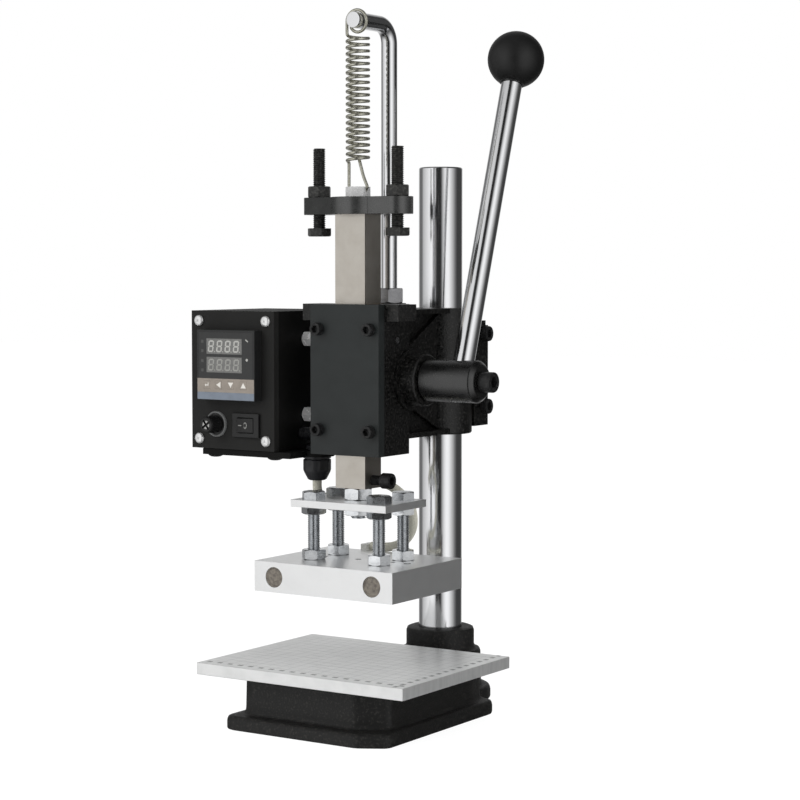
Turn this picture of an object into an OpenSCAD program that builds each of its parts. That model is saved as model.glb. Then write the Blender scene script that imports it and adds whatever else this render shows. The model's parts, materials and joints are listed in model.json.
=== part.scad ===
// Hot foil stamping machine: bench press with a rack-driven ram, heated block and temperature control box.
// Millimetres. X = 0 is the plane of symmetry of ram, column and table, Y = 0 the ram axis, Z = 0 the floor.
// The front faces -Y, the lever is on +X and the control box on -X.

/* [Base] */
// Width of the foot flange of the base casting
base_w = 148; // [136:1:170]
// Distance from the ram axis to the front edge of the foot
base_front = 81; // [66:1:90]
// Distance from the ram axis to the rear face of the foot, beside the neck
base_back = 92; // [80:1:100]
// Height of the base casting under the work table
base_h = 41.5; // [36:0.5:60]
// Height of the foot flange
foot_h = 11; // [6:0.5:14]
// How far the foot flange stands out from the wall at the sides
foot_rim = 8; // [5:0.5:12]
// How far the foot flange stands out from the wall at the front
foot_front_rim = 11.5; // [5:0.5:14]
// Wall thickness of the base casting
base_wall = 8; // [5:0.5:12]
// Height of the column boss above the base
boss_rise = 18.5; // [10:0.5:30]
// Wall of the column boss round the column
boss_wall = 10.4; // [8:0.2:14]

/* [Column] */
// Diameter of the column
column_d = 36; // [32:0.5:42]
// Distance from the ram axis to the column axis
column_y = 121.6; // [118:0.2:130]
// Height of the column top above the floor
column_top = 442.5; // [420:0.5:520]

/* [Work table] */
// Width of the work table
table_w = 193; // [160:1:240]
// Depth of the work table
table_d = 156; // [140:1:160]
// Thickness of the work table
table_t = 9.4; // [8:0.2:14]
// How far the table sits in front of the ram axis
table_shift = 6; // [0:0.5:10]

/* [Heat block] */
// Width of the heated block
block_w = 130; // [120:1:150]
// Depth of the heated block
block_d = 100; // [90:1:110]
// Thickness of the heated block
block_t = 24; // [22:0.5:30]
// Height of the block above the work table with the ram up
block_gap = 55; // [55:1:80]
// Diameter of a heater cartridge
cartridge_d = 16; // [10:0.5:17]
// Distance between the two heater cartridges
cartridge_spacing = 92; // [90:1:100]
// Distance between the outer die screw holes
die_hole_spacing = 64; // [60:1:66]
// Diameter of a die screw hole
die_hole_d = 5.2; // [4:0.1:6]

/* [Levelling] */
// Width of the levelling plate
plate_w = 90; // [88:1:110]
// Depth of the levelling plate
plate_d = 58; // [56:1:70]
// Thickness of the levelling plate
plate_t = 5.8; // [4:0.2:8]
// Clear height between the block and the levelling plate
plate_gap = 41.8; // [36:0.2:50]
// Spacing of the levelling bolts across the width
level_x = 62; // [58:1:66]
// Spacing of the levelling bolts along the depth
level_y = 34; // [32:1:42]
// Diameter of a levelling bolt
level_d = 10; // [6:0.5:10]
// Diameter of the centre stud
stud_d = 12; // [10:0.5:12]

/* [Ram] */
// Width of the square ram
ram_w = 28; // [26:0.5:30]
// Depth of the square ram
ram_d = 22.5; // [22:0.5:24]
// Length of ram seen under the head
ram_drop = 26.5; // [24:0.5:40]
// Length of ram seen above the head
ram_rise = 70; // [66:0.5:80]
// Sliding clearance of the ram on each side
ram_slip = 0.15; // [0.1:0.01:0.3]

/* [Head] */
// Width of the head casting
head_w = 64.4; // [64:0.2:70]
// Height of the head casting
head_h = 118; // [116:0.5:124]
// Thickness of the cover plate
cover_t = 8; // [6:0.5:10]
// Depth of the ram housing behind the ram axis
housing_back = 24; // [22:0.5:30]
// Width of the neck between housing and column
neck_w = 40; // [38:1:46]
// Wall of the collar round the column
collar_wall = 8.2; // [7:0.2:12]
// Height of the full collar ring
collar_h = 89; // [80:1:94]
// Width of the split at the back of the collar
collar_split = 4; // [2:0.5:6]
// How far a stop lug stands out from the housing
lug_out = 13; // [12:0.5:16]
// Height of a stop lug
lug_h = 13; // [9:0.5:20]
// Depth of a stop lug
lug_d = 25.5; // [20:0.5:30]

/* [Drive] */
// Pitch diameter of the pinion
pinion_pitch_d = 34; // [33:0.5:35.5]
// Number of teeth on the pinion
gear_teeth = 17; // [16:1:17]
// Face width of the pinion
gear_w = 24; // [20:0.5:25]
// Diameter of the pinion shaft
shaft_d = 20; // [18:0.5:22]
// Wall of the pinion bush
bush_wall = 3; // [2:0.5:4]
// Height of the pinion axis above the bottom of the head
pinion_up = 58.3; // [56:0.1:62]
// Diameter of the pinion boss on the head
pinion_boss_d = 41; // [40:0.5:48]
// How far the pinion boss stands out from the head
pinion_boss_len = 15.5; // [12:0.5:20]

/* [Lever] */
// Diameter of the lever hub
hub_d = 33; // [32:0.5:38]
// Length of the lever hub
hub_len = 49; // [48:0.5:56]
// Diameter of the lever rod
lever_d = 16.8; // [14:0.2:17]
// Distance from the pinion axis to the centre of the ball
lever_len = 268; // [240:1:300]
// Backward lean of the lever at rest, in degrees
lever_lean = 18.3; // [5:0.1:22]
// Diameter of the ball knob
ball_d = 45.5; // [38:0.5:50]

/* [Stops] */
// Thickness of the stop flange on the ram
flange_t = 13.5; // [10:0.5:16]
// Distance between the two stop bolts
stop_spacing = 74; // [72:0.5:76]
// Diameter of a stop bolt
stop_d = 10; // [6:0.5:10]
// Length of a stop bolt under its head
stop_len = 62.8; // [56:0.2:70]
// Height of a stop bolt head above its lug with the ram up
stop_gap = 53; // [52:0.5:56]

/* [Spring] */
// Diameter of the spring rod
cane_d = 12.7; // [10:0.1:14]
// Distance from the ram axis to the spring rod
cane_y = 44.3; // [40:0.1:50]
// Height of the spring rod arm above the head
cane_rise = 220.5; // [212:0.5:250]
// Outer diameter of the return spring
spring_d = 19.4; // [18:0.1:22]
// Diameter of the spring wire
wire_d = 2.5; // [2:0.1:2.6]
// Number of turns of the return spring
spring_turns = 20; // [14:1:22]

/* [Control box] */
// Width of the control box
box_w = 83; // [78:1:96]
// Height of the control box
box_h = 111.5; // [108:0.5:124]
// Depth of the control box with its front lid
box_d = 100; // [100:1:120]
// Wall thickness of the sheet metal
sheet_t = 1.5; // [1:0.1:2]
// Depth of the front lid
lid_d = 6.4; // [5:0.2:10]
// Distance from the ram axis to the front of the lid
lid_front = 25; // [20:0.5:30]
// Gap between the control box and the head
box_side_gap = 31.5; // [31:0.5:40]
// Width of the controller bezel
bezel_w = 57.9; // [54:0.1:60]
// Height of the controller bezel
bezel_h = 56.5; // [54:0.5:60]
// How far the controller bezel stands out from the lid
bezel_out = 9.5; // [6:0.5:12]
// Travel of a controller key
key_travel = 0.5; // [0.2:0.1:0.8]

/* [Fasteners] */
// Thread diameter of the cover screws
cover_screw_d = 6; // [5:0.5:6]
// Thread diameter of the collar clamp bolts
clamp_bolt_d = 8; // [6:0.5:10]
// Thread diameter of the control box screws
panel_screw_d = 4; // [3:0.5:4]

/* [Cable] */
// Diameter of the sleeved heater cable
cable_d = 7.5; // [6:0.5:8]

/* [Hidden] */

// Overrun of every cut, and the clearances between pieces
over = 1;
fit = 0.03;
run_fit = 0.05;
air = 0.3;
bevel = 1;

// Base casting
tail_wall = 6;
base_web = 10;
rear_rim = 5;
foot_cut_left = [8, 5];
foot_cut_right = [22, 13];
foot_cut_back = [5, 10];
cavity_cut_back = [6, 6];
wall_cut_left = [12, 7.5];
wall_cut_right = [23, 16];
wall_cut_back = [5, 23];
column_seat = 8;
set_screw_d = 8;
set_screw_af = 4;
table_screw_d = 6;
table_screw_in = 6;
foot_x = base_w / 2;
wall_x = foot_x - foot_rim;
column_r = column_d / 2;
boss_r = column_r + boss_wall;
tail_r = boss_r + tail_wall;
boss_top = base_h + boss_rise;
set_screw_z = base_h + boss_rise / 2;
cavity_x = wall_x - base_wall;
wall_front = -base_front + foot_front_rim;
wall_back = base_back - rear_rim;
cavity_y0 = wall_front + base_wall;
cavity_y1 = wall_back - base_wall * 2;
cavity_top = base_h - base_wall;
table_z = base_h + table_t;
table_x = table_w / 2;
table_y0 = -table_shift - table_d / 2;
table_y1 = -table_shift + table_d / 2;
table_screw_share = 0.75;
table_screws_at = [for (x = [-cavity_x, cavity_x], y = [cavity_y0, cavity_y1]) [x, y] * table_screw_share];

// Heights above the floor, from the table up to the top of the ram
centre_nut_h = 9.5;
block_z = table_z + block_gap;
block_top = block_z + block_t;
plate_z = block_top + plate_gap;
plate_top = plate_z + plate_t;
ram_z = plate_top + centre_nut_h;
head_z = ram_z + ram_drop;
head_top = head_z + head_h;
ram_top = head_top + ram_rise;
flange_top = ram_top + flange_t;
pinion_z = head_z + pinion_up;

// Ram and what hangs on it
stud_in = 26;
stud_out = 9;
flange_stud_d = 8;
flange_stud_in = 24;
clamp_screw_d = 8;
clamp_screw_up = 6.5;
clamp_neck = 9;
clamp_head_d = 12.4;
clamp_head_h = 9;
centre_nut_af = 21;
under_nut_h = 6.5;
level_head_h = 6.4;
level_nut_h = 8;
level_jam_h = 6;
level_af = 17;
level_in = 12;
level_bottom_gap = 1;
heater_recess = 0.5;
heater_stand = 2;
lead_r = 1.6;
lead_out = 8;
lead_bend = 3;
clamp_screw_z = ram_z + clamp_screw_up;
level_places = [for (x = [-level_x / 2, level_x / 2], y = [-level_y / 2, level_y / 2]) [x, y]];
heater_x = cartridge_spacing / 2;
heater_z = block_z + block_t / 2;
block_back = block_d / 2;

// Head casting
gib_t = 3;
gib_screw_d = 5;
gib_screw_y = 6;
gib_screw_drop = 28;
gib_slot = 0.8;
collar_up = 9;
saddle_drop = 5;
neck_up = 10;
web_t = 22;
rib_t = 4;
cane_pad_wall = 7;
cover_screw_side = 8;
cover_screw_end = 19.5;
cover_screw_grip = 14;
clamp_lug_w = 44;
clamp_lug_d = 16;
clamp_lug_up = 5;
clamp_bolt_back = 7;
clamp_bolt_low = 16;
clamp_bolt_high = 7;
ring_wall = 4;
ring_t = 2;
head_x = head_w / 2;
channel_x = ram_w / 2 + ram_slip;
channel_y = ram_d / 2 + ram_slip;
cover_back = -channel_y;
cover_front = cover_back - cover_t;
collar_r = column_r + collar_wall;
collar_z = head_z + collar_up;
collar_top = collar_z + collar_h;
saddle_top = head_top - saddle_drop;
saddle_cut_y = column_y - collar_wall;
neck_z = head_z + neck_up;
neck_x = neck_w / 2;
web_x = web_t / 2;
neck_back = column_y - column_r;
lug_x = head_x + lug_out;
lug_z = head_top - lug_h;
pad_r = cane_d / 2 + cane_pad_wall;
cover_screw_len = cover_t + cover_screw_grip;
cover_screws_at = [for (s = [-1, 1], z = [head_z + cover_screw_end, head_top - cover_screw_end])
  [s * (head_x - cover_screw_side), z]];
gib_screw_z = head_top - gib_screw_drop;
clamp_lug_x = clamp_lug_w / 2;
clamp_lug_y = column_y + collar_r - over * 2;
clamp_lug_back = clamp_lug_y + clamp_lug_d;
clamp_lug_z = collar_z + clamp_lug_up;
clamp_lug_top = collar_top + rib_t;
clamp_bolt_y = clamp_lug_back - clamp_bolt_back;
clamp_bolts_z = [clamp_lug_z + clamp_bolt_low, clamp_lug_top - rib_t - clamp_bolt_high];

// Rack and pinion
gear_module = pinion_pitch_d / gear_teeth;
gear_add = gear_module * 0.9;
gear_ded = gear_module * 1.2;
tooth_play = gear_module * 0.07;
gear_pressure = 20;
flank_steps = 6;
gear_gap = 0.9;
pitch_r = pinion_pitch_d / 2;
pinion_y = ram_d / 2 - gear_add + pitch_r;
gear_tip_r = pitch_r + gear_add;
gear_root_r = pitch_r - gear_ded;
pocket_r = gear_tip_r + gear_gap;
gear_x = gear_w / 2;
pocket_x = gear_x + air;
shaft_r = shaft_d / 2;
bush_r = shaft_r + bush_wall;
rack_pitch = gear_module * PI;
rack_below = 2;
rack_above = 9;
boss_x = head_x + pinion_boss_len;
ring_r = pinion_boss_d / 2 + ring_wall;

// Lever
hub_gap = 1;
hub_chamfer = 3.5;
rod_from_end = 19.7;
rod_wall = 2;
rod_foot = 7;
ball_flat = 3;
key_w = 5;
key_h = 5;
key_in_hub = 18;
hub_screw_d = 8;
hub_screw_head_d = 16;
hub_screw_head_h = 11;
snap_w = 1.2;
snap_depth = 1;
snap_out = 2;
shaft_tail = 4;
hub_r = hub_d / 2;
lever_r = lever_d / 2;
hub_x0 = boss_x + hub_gap;
hub_x1 = hub_x0 + hub_len;
rod_x = hub_x1 - rod_from_end;
shaft_x0 = -head_x - shaft_tail;
shaft_x1 = rod_x - lever_r - rod_wall;
snap_x = -head_x - air - snap_w;
rod_in_ball = ball_d * 0.4;
ball_low = lever_len - ball_d / 2;
keys_at = [[-gear_x, gear_x], [shaft_x1 - key_in_hub, shaft_x1]];

// Stops and the fittings on the stop flange
stop_head_h = 6.4;
stop_af = 17;
stop_nut_h = 9;
ear_r = 12.2;
flange_r = 21;
seat_af = 17;
seat_h = 8;
seat_hole_up = 5;
stop_x = stop_spacing / 2;
stop_head_z = head_top + stop_gap;
seat_hole_z = flange_top + seat_hole_up;

// Spring rod and return spring
cane_bend_r = 15;
cane_sink = 18;
cane_nut_af = 21;
cane_nut_h = 12;
arm_end = 7;
wire_bend = 2.5;
bail_drop = 20;
bail_tip = 3;
coil_gap = 0.5;
rings_per_turn = 8;
cane_r = cane_d / 2;
wire_r = wire_d / 2;
coil_r = spring_d / 2 - wire_r;
seat_bore_top = seat_hole_z - wire_r - bevel * 3 / 2;
arm_z = head_top + cane_rise;
hook_z = arm_z + cane_r + air + wire_r - coil_r;
coil_top = hook_z - coil_r - wire_d - coil_gap;
coil_z = flange_top + bail_drop + seat_h;
coil_rise = (coil_top - coil_z) / spring_turns;
hook_y0 = -wire_bend;
hook_y1 = wire_r;

// Control box
lid_screw_side = 8;
post_w = 10;
post_len = 14;
panel_head_d = 9;
panel_head_h = 2.6;
panel_grip = 10;
bezel_left = 12.8;
bezel_down = 15;
bezel_lip = 3;
window_in = 1.2;
tub_inset = 6;
controller_free = 16;
key_side = 6.4;
key_out = 0.8;
key_thick = 3;
key_up_share = 0.22;
key_shares = [0.174, 0.382, 0.591, 0.81];
fuse_left = 25.3;
fuse_up = 20.1;
fuse_ring_r = 10.5;
fuse_ring_t = 2;
fuse_neck_r = 6.8;
fuse_neck_t = 1.2;
fuse_cap_r = 7.2;
fuse_cap_len = 10.7;
fuse_body_r = 6;
fuse_body_len = 30;
fuse_plug_r = 3;
fuse_plug_len = 16;
fuse_slot_w = 1.2;
fuse_slot_d = 1.4;
switch_left = 55.7;
switch_w = 26.6;
switch_h = 19.4;
switch_rim_t = 2.4;
switch_body_w = 24;
switch_body_h = 17;
switch_body_d = 18;
rocker_r = 7.8;
rocker_h = 11.5;
rocker_in = 0.8;
rocker_face = 2.3;
rocker_notch = 1.2;
rocker_tilt = 10;
standoff_y = 18;
standoff_r = 5.5;
standoff_low = 28;
standoff_high = 89;
standoff_grip = 8;
box_drop = 0.2;
box_x1 = -head_x - box_side_gap;
box_x0 = box_x1 - box_w;
box_z = head_z + box_drop;
box_top = box_z + box_h;
lid_y0 = -lid_front;
box_y0 = lid_y0 + lid_d;
box_y1 = lid_y0 + box_d;
lid_back = lid_y0 + sheet_t;
lid_screws_at = [for (x = [box_x0 + lid_screw_side, box_x1 - lid_screw_side],
                      z = [box_z + lid_screw_side, box_top - lid_screw_side]) [x, z]];
bezel_x0 = box_x0 + bezel_left;
bezel_x1 = bezel_x0 + bezel_w;
bezel_top = box_top - bezel_down;
bezel_z = bezel_top - bezel_h;
bezel_y0 = lid_y0 - bezel_out;
controller_y1 = box_y1 - controller_free;
keys_z = bezel_z + bezel_h * key_up_share;
fuse_x = box_x0 + fuse_left;
fuse_z = box_z + fuse_up;
fuse_cap_y = lid_y0 - fuse_ring_t - fuse_neck_t;
switch_x = box_x0 + switch_left;
switch_y0 = lid_y0 - switch_rim_t;
rocker_y = switch_y0 + rocker_in;
standoffs_z = [head_z + standoff_low, head_z + standoff_high];

// Gland bracket, glands and the heater cable
bracket_t = 4.8;
bracket_gap = 0.3;
bracket_left = 10;
bracket_y0 = -24;
bracket_y1 = 30;
bracket_screw_in = 6.5;
bracket_screw_back = 9;
bracket_head_d = 12.6;
bracket_head_h = 2.5;
bracket_nose = 14;
gland_x = -49;
gland_y = 13;
gland_r = 11.4;
gland_tip_r = 6.5;
gland_body = 11.4;
gland_cone = 8;
gland_nut_h = 4;
elbow_r = 5;
elbow_bend = 9;
mains_r = 8;
mains_bore_r = 3.5;
mains_len = 16;
mains_left = 42;
mains_up = 22;
terminal_x0 = -32;
terminal_x1 = -26;
terminal_d = 13;
terminal_low = 20;
terminal_up = 4.5;
terminal_screw_r = 2;
bracket_top = box_z - bracket_gap;
bracket_z = bracket_top - bracket_t;
bracket_x0 = box_x0 + bracket_left;
elbow_z = bracket_top + gland_nut_h + elbow_bend;
bracket_screws_at = [for (x = [bracket_x0 + bracket_screw_in, box_x1 - bracket_screw_in],
                          y = [bracket_y0 + bracket_screw_back, bracket_y1 - bracket_screw_in]) [x, y]];
mains_x = box_x0 + mains_left;
mains_z = box_z + mains_up;
terminal_back = block_back + terminal_d;
cable_points = [
  [-49, 13, 189], [-49, 13, 183], [-49.5, 16, 177], [-50, 22, 173.5], [-49.5, 29, 174], [-46, 35.5, 177],
  [-39, 39.5, 181], [-30, 41, 184.5], [-20, 41, 187], [-10, 41, 187.5], [0, 42, 185.5], [8, 44, 181],
  [14, 47, 174.5], [17, 50.5, 166.5], [16.5, 54, 158], [14, 57, 150], [9, 59, 142.5], [2, 60, 136.5],
  [-7, 59, 133], [-15.5, 57.5, 132.1], [-21, 57, 132], [-26, 57, 132]
];

// Cylinder along one axis between two stations, and a box between two corners
module rod_along_x(r, x0, x1, y, z) {
  translate([x0, y, z]) rotate([0, 90, 0]) cylinder(r = r, h = x1 - x0, $fn = 64);
}
module rod_along_y(r, y0, y1, x, z) {
  translate([x, y0, z]) rotate([-90, 0, 0]) cylinder(r = r, h = y1 - y0, $fn = 64);
}
module rod_along_z(r, z0, z1, x, y) {
  translate([x, y, z0]) cylinder(r = r, h = z1 - z0, $fn = 64);
}
module block(x0, x1, y0, y1, z0, z1) {
  translate([x0, y0, z0]) cube([x1 - x0, y1 - y0, z1 - z0]);
}

// Hexagonal prism by its width across flats
module hex(af, h) {
  cylinder(r = af / 2 / cos(30), h = h, $fn = 6);
}

// Upright cylinder whose top edge is chamfered
module post(r, z0, z1) {
  translate([0, 0, z0]) cylinder(r = r, h = z1 - z0 - bevel, $fn = 64);
  translate([0, 0, z1 - bevel]) cylinder(r1 = r, r2 = r - bevel, h = bevel, $fn = 64);
}

// Socket head screw that points along -Z, with the seat of its head at z = 0
module socket_screw(d, len, head_d, head_h) {
  difference() {
    union() {
      translate([0, 0, -len]) cylinder(r = d / 2 - fit, h = len, $fn = 32);
      post(head_d / 2, 0, head_h);
    }
    translate([0, 0, head_h / 2]) hex(d * 0.8, head_h);
  }
}

module nut(af, h, bore_r) {
  difference() {
    hex(af, h);
    translate([0, 0, -over]) cylinder(r = bore_r, h = h + over * 2, $fn = 32);
  }
}

// Plan of the base between its front and back, with each corner cut off flat by its own lengths along X and Y
module cut_rect(x, y0, y1, left, right, back) {
  polygon([[-x, y0 + left[1]], [-x + left[0], y0], [x - right[0], y0], [x, y0 + right[1]],
           [x, y1 - back[1]], [x - back[0], y1], [-x + back[0], y1], [-x, y1 - back[1]]]);
}

// Neck of the base that runs back round the column
module tail_plan(r) {
  translate([-r, 0]) square([r * 2, column_y]);
  translate([0, column_y]) circle(r = r, $fn = 96);
}

module base_casting() color([0.13, 0.13, 0.13]) difference() {
  union() {
    linear_extrude(foot_h) {
      cut_rect(foot_x, -base_front, base_back, foot_cut_left, foot_cut_right, foot_cut_back);
      tail_plan(tail_r + foot_rim);
    }
    linear_extrude(base_h) {
      cut_rect(wall_x, wall_front, wall_back, wall_cut_left, wall_cut_right, wall_cut_back);
      tail_plan(tail_r);
    }
    translate([0, column_y, 0]) post(boss_r, base_h - over, boss_top);
  }
  translate([0, 0, -over]) linear_extrude(cavity_top + over) difference() {
    cut_rect(cavity_x, cavity_y0, cavity_y1, wall_cut_left, wall_cut_right, cavity_cut_back);
    translate([-base_web / 2, cavity_y0]) square([base_web, cavity_y1 - cavity_y0]);
  }
  rod_along_z(column_r + fit, column_seat, boss_top + over, 0, column_y);
  for (p = table_screws_at)
    rod_along_z(table_screw_d / 2 + air, cavity_top - over, base_h + over, p[0], p[1]);
  rod_along_y(set_screw_d / 2, column_y + column_r / 2, column_y + boss_r + over, 0, set_screw_z);
}

module column() color([0.8, 0.8, 0.82])
  translate([0, column_y, 0]) post(column_r, column_seat, column_top);

module column_set_screw() color([0.15, 0.15, 0.15]) difference() {
  rod_along_y(set_screw_d / 2 - fit, column_y + column_r + fit, column_y + boss_r - bevel, 0, set_screw_z);
  translate([0, column_y + boss_r - set_screw_af, set_screw_z]) rotate([-90, 0, 0])
    hex(set_screw_af, set_screw_af);
}

module work_table() color([0.78, 0.79, 0.8]) difference() {
  block(-table_x, table_x, table_y0, table_y1, base_h, table_z);
  for (p = table_screws_at)
    rod_along_z(table_screw_d / 2, base_h - over, base_h + table_screw_in + air, p[0], p[1]);
}

module table_screws() color([0.7, 0.7, 0.72])
  for (p = table_screws_at) translate([p[0], p[1], cavity_top]) mirror([0, 0, 1])
    socket_screw(table_screw_d, base_wall + table_screw_in, table_screw_d * 5 / 3, table_screw_d);

// Diagonal rib of the neck, between two heights, on both sides of the web
module neck_rib(z_housing, z_column) {
  rotate([90, 0, 90]) linear_extrude((web_x + rib_t) * 2, center = true)
    polygon([[housing_back + rib_t, z_housing], [housing_back + rib_t * 2, z_housing],
             [neck_back, z_column], [neck_back - rib_t, z_column]]);
}

// Web, flanges and ribs between the ram housing and the collar
module neck() {
  block(-web_x, web_x, housing_back - over, column_y, neck_z, saddle_top);
  block(-neck_x, neck_x, housing_back - over, column_y, saddle_top - rib_t, saddle_top);
  block(-neck_x, neck_x, housing_back - over, column_y, neck_z, neck_z + rib_t);
  neck_rib(pinion_z + ring_r / 2, saddle_top - rib_t / 2);
  neck_rib(pinion_z - ring_r / 2, neck_z + rib_t / 2);
  rod_along_z(pad_r, head_top - cane_sink - rib_t, head_top, 0, cane_y);
}

// Ring round the column with its clamp lugs, and the half ring over it that the neck runs into
module collar() {
  translate([0, column_y, 0]) post(collar_r, collar_z + bevel, collar_top);
  translate([0, column_y, collar_z]) cylinder(r1 = collar_r - bevel, r2 = collar_r, h = bevel, $fn = 64);
  difference() {
    rod_along_z(collar_r, collar_top - bevel * 2, saddle_top, 0, column_y);
    block(-collar_r * 2, collar_r * 2, saddle_cut_y, column_y + collar_r * 2, collar_top, saddle_top + over);
  }
  block(-clamp_lug_x, clamp_lug_x, column_y + column_r, clamp_lug_back, clamp_lug_z, clamp_lug_top - rib_t);
  block(-clamp_lug_x, clamp_lug_x, clamp_lug_y, clamp_lug_back - rib_t, clamp_lug_z, clamp_lug_top);
}

module head_casting() color([0.14, 0.14, 0.14]) difference() {
  union() {
    block(-head_x, head_x, cover_back, housing_back, head_z, head_top);
    block(-lug_x, lug_x, cover_back, cover_back + lug_d, lug_z, head_top);
    neck();
    collar();
    block(-pocket_x - rib_t, pocket_x + rib_t, housing_back - over, pinion_y + pocket_r + rib_t,
          pinion_z - pocket_r - rib_t, pinion_z + pocket_r + rib_t);
    translate([0, pinion_y, pinion_z]) rotate([0, 90, 0]) post(pinion_boss_d / 2, 0, boss_x);
    rod_along_x(ring_r, -head_x, head_x + ring_t, pinion_y, pinion_z);
  }
  block(-channel_x, channel_x + gib_t, cover_back - over, channel_y, head_z - over, head_top + over);
  block(-pocket_x, pocket_x, channel_y - over, pinion_y, pinion_z - pocket_r, pinion_z + pocket_r);
  rod_along_x(pocket_r, -pocket_x, pocket_x, pinion_y, pinion_z);
  rod_along_x(bush_r + fit, -head_x - over, boss_x + over, pinion_y, pinion_z);
  rod_along_z(column_r + run_fit, head_z - over, head_top + over, 0, column_y);
  block(-collar_split / 2, collar_split / 2, column_y, clamp_lug_back + over,
        collar_z - over, clamp_lug_top + over);
  for (z = clamp_bolts_z)
    rod_along_x(clamp_bolt_d / 2, -clamp_lug_x + bevel, clamp_lug_x + over, clamp_bolt_y, z);
  rod_along_z(cane_r + fit, head_top - cane_sink, head_top + over, 0, cane_y);
  for (p = cover_screws_at)
    rod_along_y(cover_screw_d / 2, cover_back - over, cover_back + cover_screw_grip + air, p[0], p[1]);
  rod_along_x(gib_screw_d / 2, channel_x, head_x + over, gib_screw_y, gib_screw_z);
  for (z = standoffs_z)
    rod_along_x(panel_screw_d / 2, -head_x - over, -head_x + standoff_grip + air, standoff_y, z);
}

module cover_plate() color([0.2, 0.21, 0.21]) difference() {
  block(-head_x, head_x, cover_front, cover_back, head_z, head_top);
  for (p = cover_screws_at)
    rod_along_y(cover_screw_d / 2 + air, cover_front - over, cover_back + over, p[0], p[1]);
}

module cover_screws() color([0.08, 0.08, 0.08])
  for (p = cover_screws_at) translate([p[0], cover_front, p[1]]) rotate([90, 0, 0])
    socket_screw(cover_screw_d, cover_screw_len, cover_screw_d * 5 / 3, cover_screw_d);

module clamp_bolts() color([0.08, 0.08, 0.08])
  for (z = clamp_bolts_z) translate([clamp_lug_x, clamp_bolt_y, z]) rotate([0, 90, 0])
    socket_screw(clamp_bolt_d, clamp_lug_x * 2 - bevel * 2, clamp_bolt_d * 1.6, clamp_bolt_d * 0.75);

module gib_strip() color([0.75, 0.6, 0.3])
  block(channel_x + fit, channel_x + gib_t - fit, cover_back + fit, channel_y - fit, head_z, head_top);

module gib_screw() color([0.6, 0.6, 0.62]) difference() {
  rod_along_x(gib_screw_d / 2 - fit, channel_x + gib_t, head_x + bevel, gib_screw_y, gib_screw_z);
  block(head_x, head_x + over * 2, gib_screw_y - gib_screw_d, gib_screw_y + gib_screw_d,
        gib_screw_z - gib_slot / 2, gib_screw_z + gib_slot / 2);
}

module pinion_bushes() color([0.72, 0.55, 0.28])
  for (span = [[-head_x, -pocket_x], [pocket_x, boss_x]]) difference() {
    rod_along_x(bush_r, span[0], span[1], pinion_y, pinion_z);
    rod_along_x(shaft_r + run_fit, span[0] - over, span[1] + over, pinion_y, pinion_z);
  }

// Rod that stands on the head, bends forward over the ram and carries the spring
module spring_rod() color([0.82, 0.82, 0.84]) {
  rod_along_z(cane_r, head_top - cane_sink + air, arm_z - cane_bend_r, 0, cane_y);
  translate([0, cane_y - cane_bend_r, arm_z - cane_bend_r]) rotate([90, 0, 90])
    rotate_extrude(angle = 90, $fn = 96) translate([cane_bend_r, 0]) circle(r = cane_r, $fn = 48);
  rod_along_y(cane_r, -arm_end, cane_y - cane_bend_r, 0, arm_z);
}

module spring_rod_nut() color([0.25, 0.25, 0.26])
  translate([0, cane_y, head_top]) nut(cane_nut_af, cane_nut_h, cane_r + fit);

// Angle that an involute of base radius rb turns by radius r, and a point at a radius and an angle
function flank_turn(r, rb) = tan(acos(rb / r)) * 180 / PI - acos(rb / r);
function polar(r, a) = [r * cos(a), r * sin(a)];

module gear_plan() {
  rb = pitch_r * cos(gear_pressure);
  low_r = max(rb + fit, gear_root_r);
  half = 90 / gear_teeth - tooth_play / pitch_r * 90 / PI + flank_turn(pitch_r, rb);
  radii = [for (i = [0:flank_steps]) low_r + (gear_tip_r - low_r) * i / flank_steps];
  polygon([for (t = [0:gear_teeth - 1]) let (c = t * 360 / gear_teeth)
    each concat([polar(gear_root_r, c - half)],
                [for (r = radii) polar(r, c - half + flank_turn(r, rb))],
                [for (i = [flank_steps:-1:0]) polar(radii[i], c + half - flank_turn(radii[i], rb))],
                [polar(gear_root_r, c + half)])]);
}

module pinion_gear() color([0.55, 0.55, 0.56]) translate([0, pinion_y, pinion_z]) difference() {
  rotate([90, 0, 90]) rotate([0, 0, 180]) linear_extrude(gear_w, center = true) gear_plan();
  rod_along_x(shaft_r + fit, -gear_w, gear_w, 0, 0);
  block(-gear_w, gear_w, 0, shaft_r + key_h / 2 + fit, -key_w / 2 - fit, key_w / 2 + fit);
}

module pinion_shaft() color([0.6, 0.6, 0.62]) difference() {
  rod_along_x(shaft_r, shaft_x0, shaft_x1, pinion_y, pinion_z);
  for (span = keys_at)
    block(span[0] - fit, span[1] + fit, pinion_y + shaft_r - key_h / 2 - fit, pinion_y + shaft_r + over,
          pinion_z - key_w / 2 - fit, pinion_z + key_w / 2 + fit);
  difference() {
    rod_along_x(shaft_r + over, snap_x - fit, snap_x + snap_w + fit, pinion_y, pinion_z);
    rod_along_x(shaft_r - snap_depth, snap_x - over, snap_x + snap_w + over, pinion_y, pinion_z);
  }
}

module shaft_keys() color([0.5, 0.5, 0.52])
  for (span = keys_at)
    block(span[0], span[1], pinion_y + shaft_r - key_h / 2, pinion_y + shaft_r + key_h / 2,
          pinion_z - key_w / 2, pinion_z + key_w / 2);

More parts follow.
